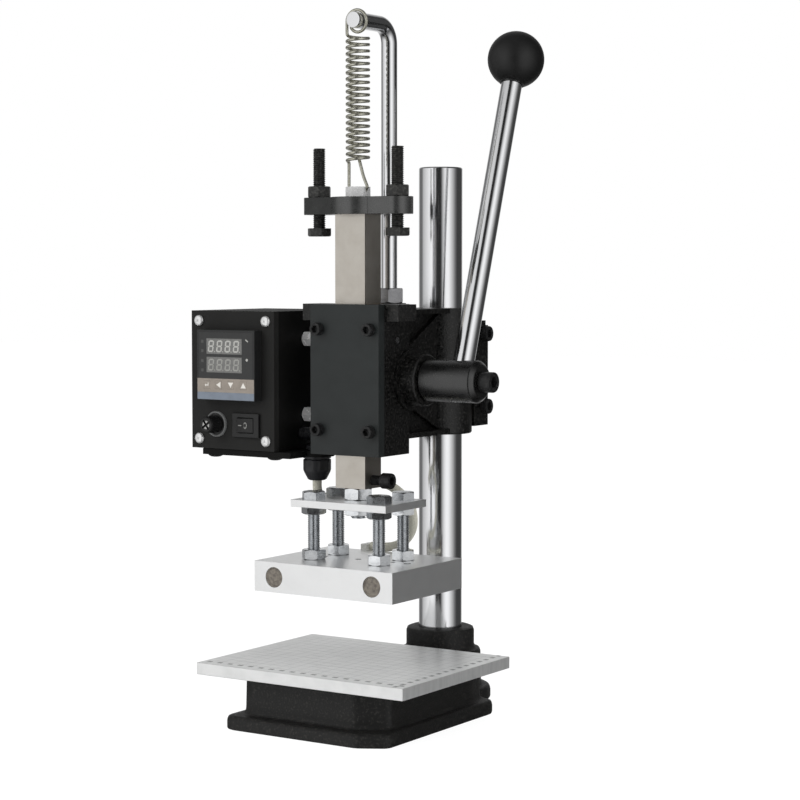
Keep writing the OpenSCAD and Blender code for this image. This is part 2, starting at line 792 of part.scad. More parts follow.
module retaining_ring() color([0.2, 0.2, 0.2]) difference() {
  rod_along_x(shaft_r + snap_out, snap_x, snap_x + snap_w, pinion_y, pinion_z);
  rod_along_x(shaft_r - snap_depth + fit, snap_x - over, snap_x + snap_w + over, pinion_y, pinion_z);
  block(snap_x - over, snap_x + snap_w + over, pinion_y - snap_out, pinion_y + snap_out,
        pinion_z - shaft_d, pinion_z);
}

// Frame on the pinion axis whose Z runs along the lever
module lever_frame() {
  translate([rod_x, pinion_y, pinion_z]) rotate([-lever_lean, 0, 0]) children();
}

module lever_hub() color([0.1, 0.1, 0.1]) difference() {
  union() {
    rod_along_x(hub_r, hub_x0, hub_x1 - hub_chamfer, pinion_y, pinion_z);
    translate([hub_x1 - hub_chamfer, pinion_y, pinion_z]) rotate([0, 90, 0])
      cylinder(r1 = hub_r, r2 = hub_r - hub_chamfer, h = hub_chamfer, $fn = 64);
  }
  rod_along_x(shaft_r + fit, hub_x0 - over, shaft_x1 + fit, pinion_y, pinion_z);
  block(hub_x0 - over, shaft_x1 + fit, pinion_y, pinion_y + shaft_r + key_h / 2 + fit,
        pinion_z - key_w / 2 - fit, pinion_z + key_w / 2 + fit);
  lever_frame() rod_along_z(lever_r + fit, -rod_foot, hub_d, 0, 0);
  rod_along_x(hub_screw_d / 2, rod_x, hub_x1 + over, pinion_y, pinion_z);
}

module hub_screw() color([0.1, 0.1, 0.1]) translate([hub_x1, pinion_y, pinion_z]) rotate([0, 90, 0])
  socket_screw(hub_screw_d, hub_x1 - rod_x - lever_r - air, hub_screw_head_d, hub_screw_head_h);

module lever_rod() color([0.85, 0.85, 0.87]) lever_frame()
  rod_along_z(lever_r, -rod_foot + fit, ball_low + rod_in_ball, 0, 0);

module ball_knob() color([0.06, 0.06, 0.06]) lever_frame() difference() {
  translate([0, 0, lever_len]) sphere(r = ball_d / 2, $fn = 96);
  block(-ball_d, ball_d, -ball_d, ball_d, ball_low - over, ball_low + ball_flat);
  rod_along_z(lever_r + fit, ball_low - over, ball_low + rod_in_ball + fit, 0, 0);
}

// One gap between two rack teeth, in the plane of Y and Z
module rack_gap_plan() {
  tip = gear_add + over;
  half = rack_pitch / 4 + tooth_play / 2;
  lean = tan(gear_pressure);
  polygon([[-gear_ded, -half + gear_ded * lean], [tip, -half - tip * lean],
           [tip, half + tip * lean], [-gear_ded, half - gear_ded * lean]]);
}

module ram() color([0.62, 0.6, 0.56]) difference() {
  block(-ram_w / 2, ram_w / 2, -ram_d / 2, ram_d / 2, ram_z, ram_top);
  for (i = [-rack_below:rack_above]) translate([0, ram_d / 2 - gear_add, pinion_z + i * rack_pitch])
    rotate([90, 0, 90]) linear_extrude(ram_w + over * 2, center = true) rack_gap_plan();
  rod_along_z(stud_d / 2 + fit, ram_z - over, ram_z + stud_in, 0, 0);
  rod_along_z(flange_stud_d / 2 + fit, ram_top - flange_stud_in, ram_top + over, 0, 0);
  rod_along_x(clamp_screw_d / 2, 0, ram_w / 2 + over, 0, clamp_screw_z);
}

module stop_flange() color([0.2, 0.2, 0.2]) difference() {
  union() {
    rod_along_z(flange_r, ram_top, flange_top, 0, 0);
    block(-stop_x, stop_x, -ear_r, ear_r, ram_top, flange_top);
    for (s = [-1, 1]) rod_along_z(ear_r, ram_top, flange_top, s * stop_x, 0);
  }
  for (s = [-1, 1]) rod_along_z(stop_d / 2 + run_fit, ram_top - over, flange_top + over, s * stop_x, 0);
  rod_along_z(flange_stud_d / 2 + fit, ram_top - over, flange_top + over, 0, 0);
}

module flange_stud() color([0.6, 0.6, 0.62])
  rod_along_z(flange_stud_d / 2, ram_top - flange_stud_in + air, seat_bore_top - air, 0, 0);

module stop_nuts() color([0.1, 0.1, 0.1])
  for (s = [-1, 1]) translate([s * stop_x, 0, flange_top]) nut(stop_af, stop_nut_h, stop_d / 2 + run_fit);

// Hexagon that clamps the flange and takes the lower bail of the spring through a cross hole
module spring_seat() color([0.8, 0.8, 0.82]) difference() {
  translate([0, 0, flange_top]) rotate([0, 0, 30]) hex(seat_af, seat_h);
  rod_along_z(flange_stud_d / 2 + fit, flange_top - over, seat_bore_top, 0, 0);
  rod_along_x(wire_r + air, -seat_af, seat_af, 0, seat_hole_z);
  for (s = [-1, 1]) translate([s * (coil_r - wire_bend - wire_r + seat_af / 2), 0, seat_hole_z])
    block(-seat_af / 2, seat_af / 2, -wire_r - air * 2, wire_r + air * 2, 0, seat_h);
}

module clamp_screw() color([0.08, 0.08, 0.08]) {
  translate([ram_w / 2 + clamp_neck, 0, clamp_screw_z]) rotate([0, 90, 0])
    socket_screw(clamp_screw_d, clamp_neck + ram_w / 2 - stud_d / 2 - fit * 2, clamp_head_d, clamp_head_h);
}

module centre_stud() color([0.7, 0.71, 0.73])
  rod_along_z(stud_d / 2, plate_z - stud_out, ram_z + stud_in - air, 0, 0);

module centre_nuts() color([0.8, 0.81, 0.83]) {
  translate([0, 0, plate_top]) rotate([0, 0, 15]) nut(centre_nut_af, centre_nut_h, stud_d / 2 + fit);
  translate([0, 0, plate_z - under_nut_h]) rotate([0, 0, 15])
    nut(centre_nut_af, under_nut_h, stud_d / 2 + fit);
}

module levelling_plate() color([0.82, 0.83, 0.84]) difference() {
  block(-plate_w / 2, plate_w / 2, -plate_d / 2, plate_d / 2, plate_z, plate_top);
  for (p = level_places) rod_along_z(level_d / 2 + air, plate_z - over, plate_top + over, p[0], p[1]);
  rod_along_z(stud_d / 2 + fit, plate_z - over, plate_top + over, 0, 0);
}

module levelling_bolts() color([0.72, 0.75, 0.78]) for (p = level_places) translate([p[0], p[1], 0]) {
  translate([0, 0, plate_top]) hex(level_af, level_head_h);
  rod_along_z(level_d / 2, block_top - level_in + level_bottom_gap, plate_top + over, 0, 0);
}

module levelling_nuts() color([0.72, 0.75, 0.78])
  for (p = level_places, span = [[block_top, level_nut_h], [plate_z - level_jam_h, level_jam_h]])
    translate([p[0], p[1], span[0]]) nut(level_af, span[1], level_d / 2 + fit);

module heat_block() color([0.85, 0.86, 0.87]) difference() {
  block(-block_w / 2, block_w / 2, -block_back, block_back, block_z, block_top);
  for (s = [-1, 1]) rod_along_y(cartridge_d / 2 + run_fit, -block_d, block_d, s * heater_x, heater_z);
  for (p = level_places) rod_along_z(level_d / 2 + fit, block_top - level_in, block_top + over, p[0], p[1]);
  for (s = [-1, 0, 1])
    rod_along_z(die_hole_d / 2, block_z - over, block_top + over, s * die_hole_spacing / 2, 0);
}

module cartridge_heaters() color([0.6, 0.56, 0.5]) for (x = [-heater_x, heater_x])
  rod_along_y(cartridge_d / 2, -block_back + heater_recess, block_back + heater_stand, x, heater_z);

// Two heater wires that leave the cartridges and run along the rear face to the terminal block
module heater_leads() color([0.85, 0.84, 0.78]) {
  y = block_back + lead_out;
  for (s = [-1, 1]) {
    rod_along_y(lead_r, block_back + heater_stand, y - lead_bend, s * heater_x, heater_z);
    translate([s * (heater_x - lead_bend), y - lead_bend, heater_z]) rotate([0, 0, s > 0 ? 0 : 90])
      rotate_extrude(angle = 90, $fn = 48) translate([lead_bend, 0]) circle(r = lead_r, $fn = 24);
  }
  rod_along_x(lead_r, terminal_x1, heater_x - lead_bend, y, heater_z);
  rod_along_x(lead_r, -heater_x + lead_bend, terminal_x0, y, heater_z);
}

module terminal_block() color([0.75, 0.75, 0.73]) difference() {
  block(terminal_x0, terminal_x1, block_back, terminal_back,
        block_top - terminal_low, block_top + terminal_up);
  rod_along_z(terminal_screw_r, block_top + terminal_up - bevel, block_top + terminal_up + over,
              (terminal_x0 + terminal_x1) / 2, block_back + terminal_d / 2);
}

// Hexagon bolt that hangs head down from the stop flange
module stop_bolt() {
  translate([0, 0, stop_head_z]) rotate([0, 0, 15]) hex(stop_af, stop_head_h);
  post(stop_d / 2, stop_head_z + stop_head_h, stop_head_z + stop_head_h + stop_len);
}
module stop_bolt_left() color([0.1, 0.1, 0.1]) translate([-stop_x, 0, 0]) stop_bolt();
module stop_bolt_right() color([0.1, 0.1, 0.1]) translate([stop_x, 0, 0]) stop_bolt();

// Wire of the return spring: bail through the seat, coils, then the hook round the arm
bend_share = 0.3;
bail_share = 0.35;
bail_points = concat(
  [[coil_r * bail_share, 0, coil_z - bail_tip],
   [coil_r * (1 + bail_share) / 2, 0, (coil_z + seat_hole_z) / 2]],
  [for (s = [1, -1]) each [
    [s * coil_r, 0, seat_hole_z + wire_bend + wire_r],
    [s * (coil_r - wire_bend * bend_share / 2), 0, seat_hole_z + wire_bend * (1 - bend_share)],
    [s * (coil_r - wire_bend * (1 - bend_share)), 0, seat_hole_z + wire_bend * bend_share / 2],
    [s * (coil_r - wire_bend - wire_r), 0, seat_hole_z]]]);
bail_path = [for (i = [0, 1, 2, 3, 4, 5, 9, 8, 7, 6]) bail_points[i]];
rise_path = [[-coil_r, 0, coil_z - wire_bend],
             [-coil_r, -wire_bend * bend_share, coil_z - wire_bend * bend_share],
             [-coil_r + wire_r / 4, -wire_bend, coil_z]];
coil_path = [for (i = [1:spring_turns * rings_per_turn]) let (a = 180 + i * 360 / rings_per_turn)
  [coil_r * cos(a), coil_r * sin(a), coil_z + coil_rise * i / rings_per_turn]];
lift_path = [[-coil_r, -wire_bend * (1 - bend_share), coil_top + wire_bend * bend_share],
             [-coil_r, hook_y0, coil_top + wire_bend]];
hook_path = [for (a = [180:-30:-150]) let (s = (180 - a) / 330)
  [coil_r * cos(a), hook_y0 + (hook_y1 - hook_y0) * s, hook_z + coil_r * sin(a)]];
spring_path = concat(bail_path, rise_path, coil_path, lift_path, hook_path);

// Least clear gap of the wire to itself, on ring centres more than one coil quarter apart
spring_least = min([for (i = [0:len(spring_path) - 1], j = [i + rings_per_turn / 2 + 1:len(spring_path) - 1])
  norm(spring_path[i] - spring_path[j])]) - wire_d;
echo(spring_least_gap = spring_least);

function unit(v) = v / norm(v);
function tangent_at(p, i) = unit(p[min(i + 1, len(p) - 1)] - p[max(i - 1, 0)]);
function carry(p, i, side) = let (t = tangent_at(p, i)) unit(side - t * (side * t));
function sides(p, side, i = 0, found = []) =
  i == len(p) ? found : let (s = carry(p, i, side)) sides(p, s, i + 1, concat(found, [s]));

// Round tube of n sides swept along a path, with its ring of sides carried along without twist
module tube(path, r, n) {
  side = sides(path, [0, 1, 0]);
  last = len(path) - 1;
  points = [for (i = [0:last]) let (u = side[i], v = cross(tangent_at(path, i), u))
    for (k = [0:n - 1]) path[i] + r * (u * cos(k * 360 / n) + v * sin(k * 360 / n))];
  walls = [for (i = [0:last - 1], k = [0:n - 1]) let (a = i * n + k, b = i * n + (k + 1) % n)
    each [[a, a + n, b], [b, a + n, b + n]]];
  ends = [for (k = [1:n - 2]) each [[0, k, k + 1], [last * n, last * n + k + 1, last * n + k]]];
  polyhedron(points = points, faces = concat(walls, ends));
}

module return_spring() color([0.75, 0.74, 0.7]) tube(spring_path, wire_r, 6);
module heater_cable() color([0.85, 0.85, 0.79]) tube(cable_points, cable_d / 2, 8);

module control_box() color([0.16, 0.16, 0.16]) difference() {
  union() {
    difference() {
      block(box_x0, box_x1, box_y0, box_y1, box_z, box_top);
      block(box_x0 + sheet_t, box_x1 - sheet_t, box_y0 - over, box_y1 - sheet_t,
            box_z + sheet_t, box_top - sheet_t);
    }
    for (x = [box_x0 + sheet_t, box_x1 - sheet_t - post_w], z = [box_z + sheet_t, box_top - sheet_t - post_w])
      block(x - fit, x + post_w + fit, box_y0, box_y0 + post_len, z - fit, z + post_w + fit);
  }
  for (p = lid_screws_at) rod_along_y(panel_screw_d / 2, box_y0 - over, box_y0 + panel_grip, p[0], p[1]);
  for (p = bracket_screws_at)
    rod_along_z(panel_screw_d / 2, box_z - over, box_z + sheet_t + over, p[0], p[1]);
  for (z = standoffs_z)
    rod_along_x(panel_screw_d / 2 + fit, box_x1 - sheet_t - over, box_x1 + over, standoff_y, z);
  rod_along_x(elbow_r + fit, box_x1 - sheet_t - over, box_x1 + over, gland_y, elbow_z);
  rod_along_y(mains_r * 3 / 4, box_y1 - sheet_t - over, box_y1 + over, mains_x, mains_z);
}

module front_lid() color([0.18, 0.18, 0.18]) difference() {
  block(box_x0, box_x1, lid_y0, box_y0, box_z, box_top);
  block(box_x0 + sheet_t, box_x1 - sheet_t, lid_back, box_y0 + over, box_z + sheet_t, box_top - sheet_t);
  block(bezel_x0 + tub_inset - fit, bezel_x1 - tub_inset + fit, lid_y0 - over, lid_back + over,
        bezel_z + tub_inset - fit, bezel_top - tub_inset + fit);
  rod_along_y(fuse_body_r + fit, lid_y0 - over, lid_back + over, fuse_x, fuse_z);
  block(switch_x - switch_body_w / 2 - fit, switch_x + switch_body_w / 2 + fit,
        lid_y0 - over, lid_back + over,
        fuse_z - switch_body_h / 2 - fit, fuse_z + switch_body_h / 2 + fit);
  for (p = lid_screws_at)
    rod_along_y(panel_screw_d / 2 + air, lid_y0 - over, lid_back + over, p[0], p[1]);
}

module lid_screws() color([0.8, 0.8, 0.82])
  for (p = lid_screws_at) translate([p[0], lid_y0, p[1]]) rotate([90, 0, 0]) difference() {
    union() {
      rod_along_z(panel_screw_d / 2 - fit, -lid_d - panel_grip + air, over, 0, 0);
      post(panel_head_d / 2, 0, panel_head_h);
    }
    for (turn = [45, 135]) rotate([0, 0, turn])
      block(-panel_head_d / 4, panel_head_d / 4, -gib_slot / 2, gib_slot / 2,
            panel_head_h / 2, panel_head_h + over);
  }

// Plate under the box whose round nose carries the cable gland
module bracket_plate() color([0.13, 0.13, 0.13]) difference() {
  union() {
    block(bracket_x0, gland_x, bracket_y0, bracket_y1, bracket_z, bracket_top);
    rod_along_z(bracket_nose, bracket_z, bracket_top, gland_x, gland_y);
    for (p = bracket_screws_at) rod_along_z(panel_screw_d, bracket_z, box_z, p[0], p[1]);
  }
  for (p = bracket_screws_at)
    rod_along_z(panel_screw_d / 2 + air, bracket_z - over, box_z + over, p[0], p[1]);
  rod_along_z(elbow_r + fit, bracket_z - over, bracket_top + over, gland_x, gland_y);
}

module bracket_screws() color([0.3, 0.3, 0.3])
  for (p = bracket_screws_at) translate([p[0], p[1], bracket_z]) mirror([0, 0, 1])
    socket_screw(panel_screw_d, bracket_t + bracket_gap + sheet_t + bevel, bracket_head_d, bracket_head_h);

// Spacers with a stud at each end, between the box side and the head
module box_standoffs() color([0.75, 0.76, 0.78])
  for (z = standoffs_z) {
    translate([box_x1, standoff_y, z]) rotate([0, 90, 0]) hex(standoff_r * 2, box_side_gap);
    rod_along_x(panel_screw_d / 2 - fit, box_x1 - sheet_t - bevel, -head_x + standoff_grip, standoff_y, z);
  }

module cable_gland() color([0.07, 0.07, 0.07]) translate([gland_x, gland_y, 0]) {
  rod_along_z(gland_r, bracket_z - gland_body, bracket_z, 0, 0);
  translate([0, 0, bracket_z - gland_body - gland_cone])
    cylinder(r1 = gland_tip_r, r2 = gland_r, h = gland_cone, $fn = 64);
  rod_along_z(elbow_r, bracket_z - over, bracket_top + gland_nut_h, 0, 0);
  translate([0, 0, bracket_top]) hex(gland_r * 3 / 2, gland_nut_h);
}

// Sleeve that takes the heater wires from the gland up and into the side of the box
module gland_elbow() color([0.09, 0.09, 0.09]) {
  translate([gland_x - elbow_bend, gland_y, bracket_top + gland_nut_h]) rotate([90, 0, 0])
    rotate_extrude(angle = 90, $fn = 64) translate([elbow_bend, 0]) circle(r = elbow_r, $fn = 48);
  rod_along_x(elbow_r, box_x1 - sheet_t, gland_x - elbow_bend, gland_y, elbow_z);
}

module mains_gland() color([0.07, 0.07, 0.07]) difference() {
  union() {
    rod_along_y(mains_r * 3 / 4 - fit, box_y1 - sheet_t - bevel, box_y1 + over, mains_x, mains_z);
    translate([mains_x, box_y1, mains_z]) rotate([-90, 0, 0]) hex(mains_r * 2, mains_len / 3);
    translate([mains_x, box_y1 + mains_len / 3, mains_z]) rotate([-90, 0, 0])
      cylinder(r1 = mains_r, r2 = mains_r * 2 / 3, h = mains_len * 2 / 3, $fn = 64);
  }
  rod_along_y(mains_bore_r, box_y1 - sheet_t - over * 2, box_y1 + mains_len + over, mains_x, mains_z);
}

module controller_body() color([0.12, 0.12, 0.12])
  block(bezel_x0 + tub_inset, bezel_x1 - tub_inset, lid_y0, controller_y1,
        bezel_z + tub_inset, bezel_top - tub_inset);

// Face of the controller with a sunken display field and a well for each key
module controller_bezel() color([0.14, 0.14, 0.14]) difference() {
  block(bezel_x0, bezel_x1, bezel_y0, lid_y0, bezel_z, bezel_top);
  block(bezel_x0 + bezel_lip, bezel_x1 - bezel_lip, bezel_y0 - over, bezel_y0 + window_in,
        keys_z + key_side, bezel_top - bezel_lip);
  for (s = key_shares) key_block(s, air, bezel_y0 - over, bezel_y0 + key_thick + key_travel);
}

module key_block(share, grow, y0, y1) {
  x = bezel_x0 + bezel_w * share;
  reach = key_side / 2 + grow;
  block(x - reach, x + reach, y0, y1, keys_z - reach, keys_z + reach);
}
module controller_key(share) color([0.55, 0.52, 0.47])
  key_block(share, 0, bezel_y0 - key_out, bezel_y0 + key_thick - key_out);
module key_set() controller_key(key_shares[0]);
module key_shift() controller_key(key_shares[1]);
module key_down() controller_key(key_shares[2]);
module key_up() controller_key(key_shares[3]);

module fuse_holder() color([0.1, 0.1, 0.1]) difference() {
  union() {
    rod_along_y(fuse_ring_r, lid_y0 - fuse_ring_t, lid_y0, fuse_x, fuse_z);
    rod_along_y(fuse_neck_r, fuse_cap_y, lid_y0, fuse_x, fuse_z);
    rod_along_y(fuse_body_r, fuse_cap_y, lid_y0 + fuse_body_len, fuse_x, fuse_z);
  }
  rod_along_y(fuse_plug_r + run_fit, fuse_cap_y - over, fuse_cap_y + fuse_plug_len + over, fuse_x, fuse_z);
}

module fuse_cap() color([0.06, 0.06, 0.06]) difference() {
  union() {
    translate([fuse_x, fuse_cap_y - air, fuse_z]) rotate([90, 0, 0]) post(fuse_cap_r, 0, fuse_cap_len);
    rod_along_y(fuse_plug_r, fuse_cap_y - over, fuse_cap_y + fuse_plug_len, fuse_x, fuse_z);
  }
  block(fuse_x - fuse_slot_w / 2, fuse_x + fuse_slot_w / 2, fuse_cap_y - air - fuse_cap_len - over,
        fuse_cap_y - air - fuse_cap_len + fuse_slot_d, fuse_z - fuse_cap_r, fuse_z + fuse_cap_r);
}

module switch_body() color([0.08, 0.08, 0.08]) difference() {
  union() {
    block(switch_x - switch_w / 2, switch_x + switch_w / 2, switch_y0, lid_y0,
          fuse_z - switch_h / 2, fuse_z + switch_h / 2);
    block(switch_x - switch_body_w / 2, switch_x + switch_body_w / 2, lid_y0 - over, lid_y0 + switch_body_d,
          fuse_z - switch_body_h / 2, fuse_z + switch_body_h / 2);
  }
  rod_along_z(rocker_r + air, fuse_z - rocker_h / 2 - air, fuse_z + rocker_h / 2 + air, switch_x, rocker_y);
}

// Part of a drum that rocks on an upright axis, with a shallow V for its face, tipped to one side
module rocker() color([0.12, 0.12, 0.12])
  translate([switch_x, rocker_y, fuse_z - rocker_h / 2]) difference() {
    x = rocker_r + over;
    rod_along_z(rocker_r, 0, rocker_h, 0, 0);
    rotate([0, 0, rocker_tilt]) translate([0, 0, -over]) linear_extrude(rocker_h + over * 2)
      polygon([[-x, -rocker_face], [0, rocker_notch - rocker_face], [x, -rocker_face],
               [x, -rocker_r * 2], [-x, -rocker_r * 2]]);
  }

base_casting();
column();
column_set_screw();
work_table();
table_screws();
head_casting();
cover_plate();
cover_screws();
clamp_bolts();
gib_strip();
gib_screw();
pinion_bushes();
spring_rod();
spring_rod_nut();
pinion_gear();
pinion_shaft();
shaft_keys();
retaining_ring();
lever_hub();
hub_screw();
lever_rod();
ball_knob();
ram();
stop_flange();
flange_stud();
stop_nuts();
spring_seat();
clamp_screw();
centre_stud();
centre_nuts();
levelling_plate();
levelling_bolts();
levelling_nuts();
heat_block();
cartridge_heaters();
heater_leads();
terminal_block();
stop_bolt_left();
stop_bolt_right();
return_spring();
heater_cable();
control_box();
front_lid();
lid_screws();
bracket_plate();
bracket_screws();
box_standoffs();
cable_gland();
gland_elbow();
mains_gland();
controller_body();
controller_bezel();
key_set();
key_shift();
key_down();
key_up();
fuse_holder();
fuse_cap();
switch_body();
rocker();
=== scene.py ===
"""Looks of a bench hot foil stamping machine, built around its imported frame. Shapes are in millimetres until placed."""
import json
from math import acos, atan2, cos, exp, pi, radians, sin, tan

import bmesh
import bpy
from mathutils import Matrix, Vector


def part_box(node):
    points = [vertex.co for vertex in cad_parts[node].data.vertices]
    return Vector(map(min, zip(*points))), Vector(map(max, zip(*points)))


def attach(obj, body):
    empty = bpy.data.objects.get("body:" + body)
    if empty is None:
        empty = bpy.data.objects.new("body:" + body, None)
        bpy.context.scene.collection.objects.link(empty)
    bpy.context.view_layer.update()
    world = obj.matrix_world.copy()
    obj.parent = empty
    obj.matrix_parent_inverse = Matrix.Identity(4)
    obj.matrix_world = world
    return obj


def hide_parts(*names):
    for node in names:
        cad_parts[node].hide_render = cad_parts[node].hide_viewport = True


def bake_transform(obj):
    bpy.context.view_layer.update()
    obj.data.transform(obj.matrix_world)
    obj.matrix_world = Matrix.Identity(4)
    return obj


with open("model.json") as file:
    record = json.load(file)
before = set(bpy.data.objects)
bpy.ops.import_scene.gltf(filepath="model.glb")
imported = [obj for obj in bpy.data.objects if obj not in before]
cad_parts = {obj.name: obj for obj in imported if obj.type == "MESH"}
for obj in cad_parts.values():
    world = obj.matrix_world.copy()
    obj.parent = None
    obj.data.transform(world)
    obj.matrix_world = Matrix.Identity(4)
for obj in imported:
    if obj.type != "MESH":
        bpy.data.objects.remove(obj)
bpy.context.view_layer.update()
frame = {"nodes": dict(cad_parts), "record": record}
nodes = frame["nodes"]
BODY_OF = {n: b for b, members in frame["record"]["behaviour"]["bodies"].items() for n in members}
MM = 0.001

# Camera of the photograph
IMAGE_PX = 800
FOCAL_PX = 2143.1
SENSOR_MM = 36
CAMERA_PLACE = (0.94899, -1.38969, 0.36274)
CAMERA_PITCH = 3.63
CAMERA_TURN = 33.21

# Plans of the base that the frame's boxes don't say: half width, front, back, corner cuts, radius of the tail
FOOT_PLAN = (74, -81, 92, (8, 5), (22, 13), (5, 10), 42.4)
WALL_PLAN = (66, -69.5, 87, (12, 7.5), (23, 16), (5, 23), 34.4)
POCKETS = (
    [(5, -61.5), (35, -61.5), (58, -45.5), (58, 65), (52, 71), (5, 71)],
    [(-5, 71), (-52, 71), (-58, 65), (-58, -54), (-46, -61.5), (-5, -61.5)],
)
POCKET_TOP = 33.5
BASE_TOP = 41.5
BOSS_R = 28.4
BOSS_BORE_R = 18.05
COLUMN_Y = 121.6
COLUMN_SEAT = 8

# Heater cable: diameter and route, as in the solid model
CABLE_D = 7.5
CABLE_ROUTE = [
    (-49, 13, 189), (-49, 13, 183), (-49.5, 16, 177), (-50, 22, 173.5), (-49.5, 29, 174), (-46, 35.5, 177),
    (-39, 39.5, 181), (-30, 41, 184.5), (-20, 41, 187), (-10, 41, 187.5), (0, 42, 185.5), (8, 44, 181),
    (14, 47, 174.5), (17, 50.5, 166.5), (16.5, 54, 158), (14, 57, 150), (9, 59, 142.5), (2, 60, 136.5),
    (-7, 59, 133), (-15.5, 57.5, 132.1), (-21, 57, 132), (-26, 57, 132),
]

# Hexagon fasteners: across flats, thread radii and pitches, and the turn of each head and nut in the photograph
BOLT_AF = 17
BOLT_R = 4.95
BOLT_PITCH = 1.5
BOLT_HEAD_H = 6.4
CENTRE_AF = 21
CENTRE_R = 5.95
CENTRE_BORE_R = 6.1
CENTRE_PITCH = 1.75
SMALL_R = 1.95
SMALL_PITCH = 0.7
HEAD_SPINS = (15, 33, 33, 5)
NUT_SPINS = (20, 33, 5, 33, 8, 30, 3, 5)

# Return spring, heights above the stop flange
SPRING_WIRE_R = 1.25
COIL_R = 8.45
SEAT_HOLE_UP = 5
COIL_UP = 28
HOOK_UP = 136.45
COIL_TURNS = 20

# Lever: its lean at rest, and from the pinion's axis to the ball's centre
LEVER_LEAN = 18.3
LEVER_REACH = 268

# Controller face: height of the screen's lower edge, size of a digit, depth of the key caps
STRIP_UP = 17.4
STRIP_MID = 6.4
DIGIT_W = 5.6
DIGIT_H = 9.6
DIGIT_PITCH = 8.4
KEY_SUNK = 0.55
KEY_ICONS = {
    "key_set": [(-1.9, -0.5), (-0.7, 0.7), (-0.7, -0.1), (1.1, -0.1), (1.1, 1.5), (1.8, 1.5), (1.8, -0.8), (-0.7, -0.8),
                (-0.7, -1.6)],
    "key_shift": [(-2.3, 0.0), (2.0, 2.5), (2.0, -2.5)],
    "key_down": [(0.0, -2.2), (2.6, 2.1), (-2.6, 2.1)],
    "key_up": [(0.0, 2.2), (-2.6, -2.1), (2.6, -2.1)],
}

# Studio: half width of the floor and its glow, how much of that the camera sees, the world's grey for matt
# surfaces, and the heights between which the bands of light fade
FLOOR_HALF_M = 6
FLOOR_GLOW = 1.1
GLOW_SHARE = 0.85
MATT_GREY = 0.62
FADE_START = 0.42
FADE_END = 0.85
FADE_LEFT = 0.25

# World as metal sees it: degrees round the object from the photograph's camera, and brightness there
WORLD_BANDS = (
    (-180, 0.68), (-152, 0.4), (-143, 0.14), (-117, 0.17), (-107, 0.5), (-66, 0.86), (-51, 0.98), (-36, 0.95),
    (-30, 0.8), (-25, 0.03), (1, 0.02), (9, 0.4), (18, 0.75), (30, 1.0), (42, 0.98), (55, 0.7), (68, 0.44),
    (82, 0.17), (96, 0.05), (142, 0.05), (155, 0.4), (180, 0.68),
)


# Materials: a noise is (scale, detail, roughness, stretch), a tint (noise, low, high, colour), a roughness
# (noise, smoothest, roughest) and a bump (noise, depth in mm, strength)

LENGTHWISE = (1, 1, 0.2)
SHADER_INPUTS = {"metal": "Metallic", "coat": "Coat Weight", "specular": "Specular IOR Level", "sheen": "Sheen Weight"}


class Nodes:
    """A node tree, with short ways to add nodes whose inputs are values or other nodes' outputs."""

    def __init__(self, tree):
        self.tree = tree

    def feed(self, value, socket):
        """Links an output to a socket, or writes a value into it."""
        if isinstance(value, bpy.types.NodeSocket):
            self.tree.links.new(value, socket)
        else:
            socket.default_value = value

    def add(self, kind, inputs=(), **settings):
        node = self.tree.nodes.new("ShaderNode" + kind)
        for name, value in settings.items():
            setattr(node, name, value)
        for socket, value in dict(inputs).items():
            self.feed(value, node.inputs[socket])
        return node

    def math(self, kind, a, b=0.0):
        return self.add("Math", {0: a, 1: b}, operation=kind).outputs[0]

    def spread(self, value, low, high, to_low=0.0, to_high=1.0):
        ends = {"Value": value, "From Min": low, "From Max": high, "To Min": to_low, "To Max": to_high}
        return self.add("MapRange", ends).outputs["Result"]

    def mix(self, share, under, over):
        """Colour between two colours; the sockets A and B of colours are numbers 6 and 7."""
        return self.add("Mix", {"Factor": share, 6: under, 7: over}, data_type="RGBA").outputs[2]


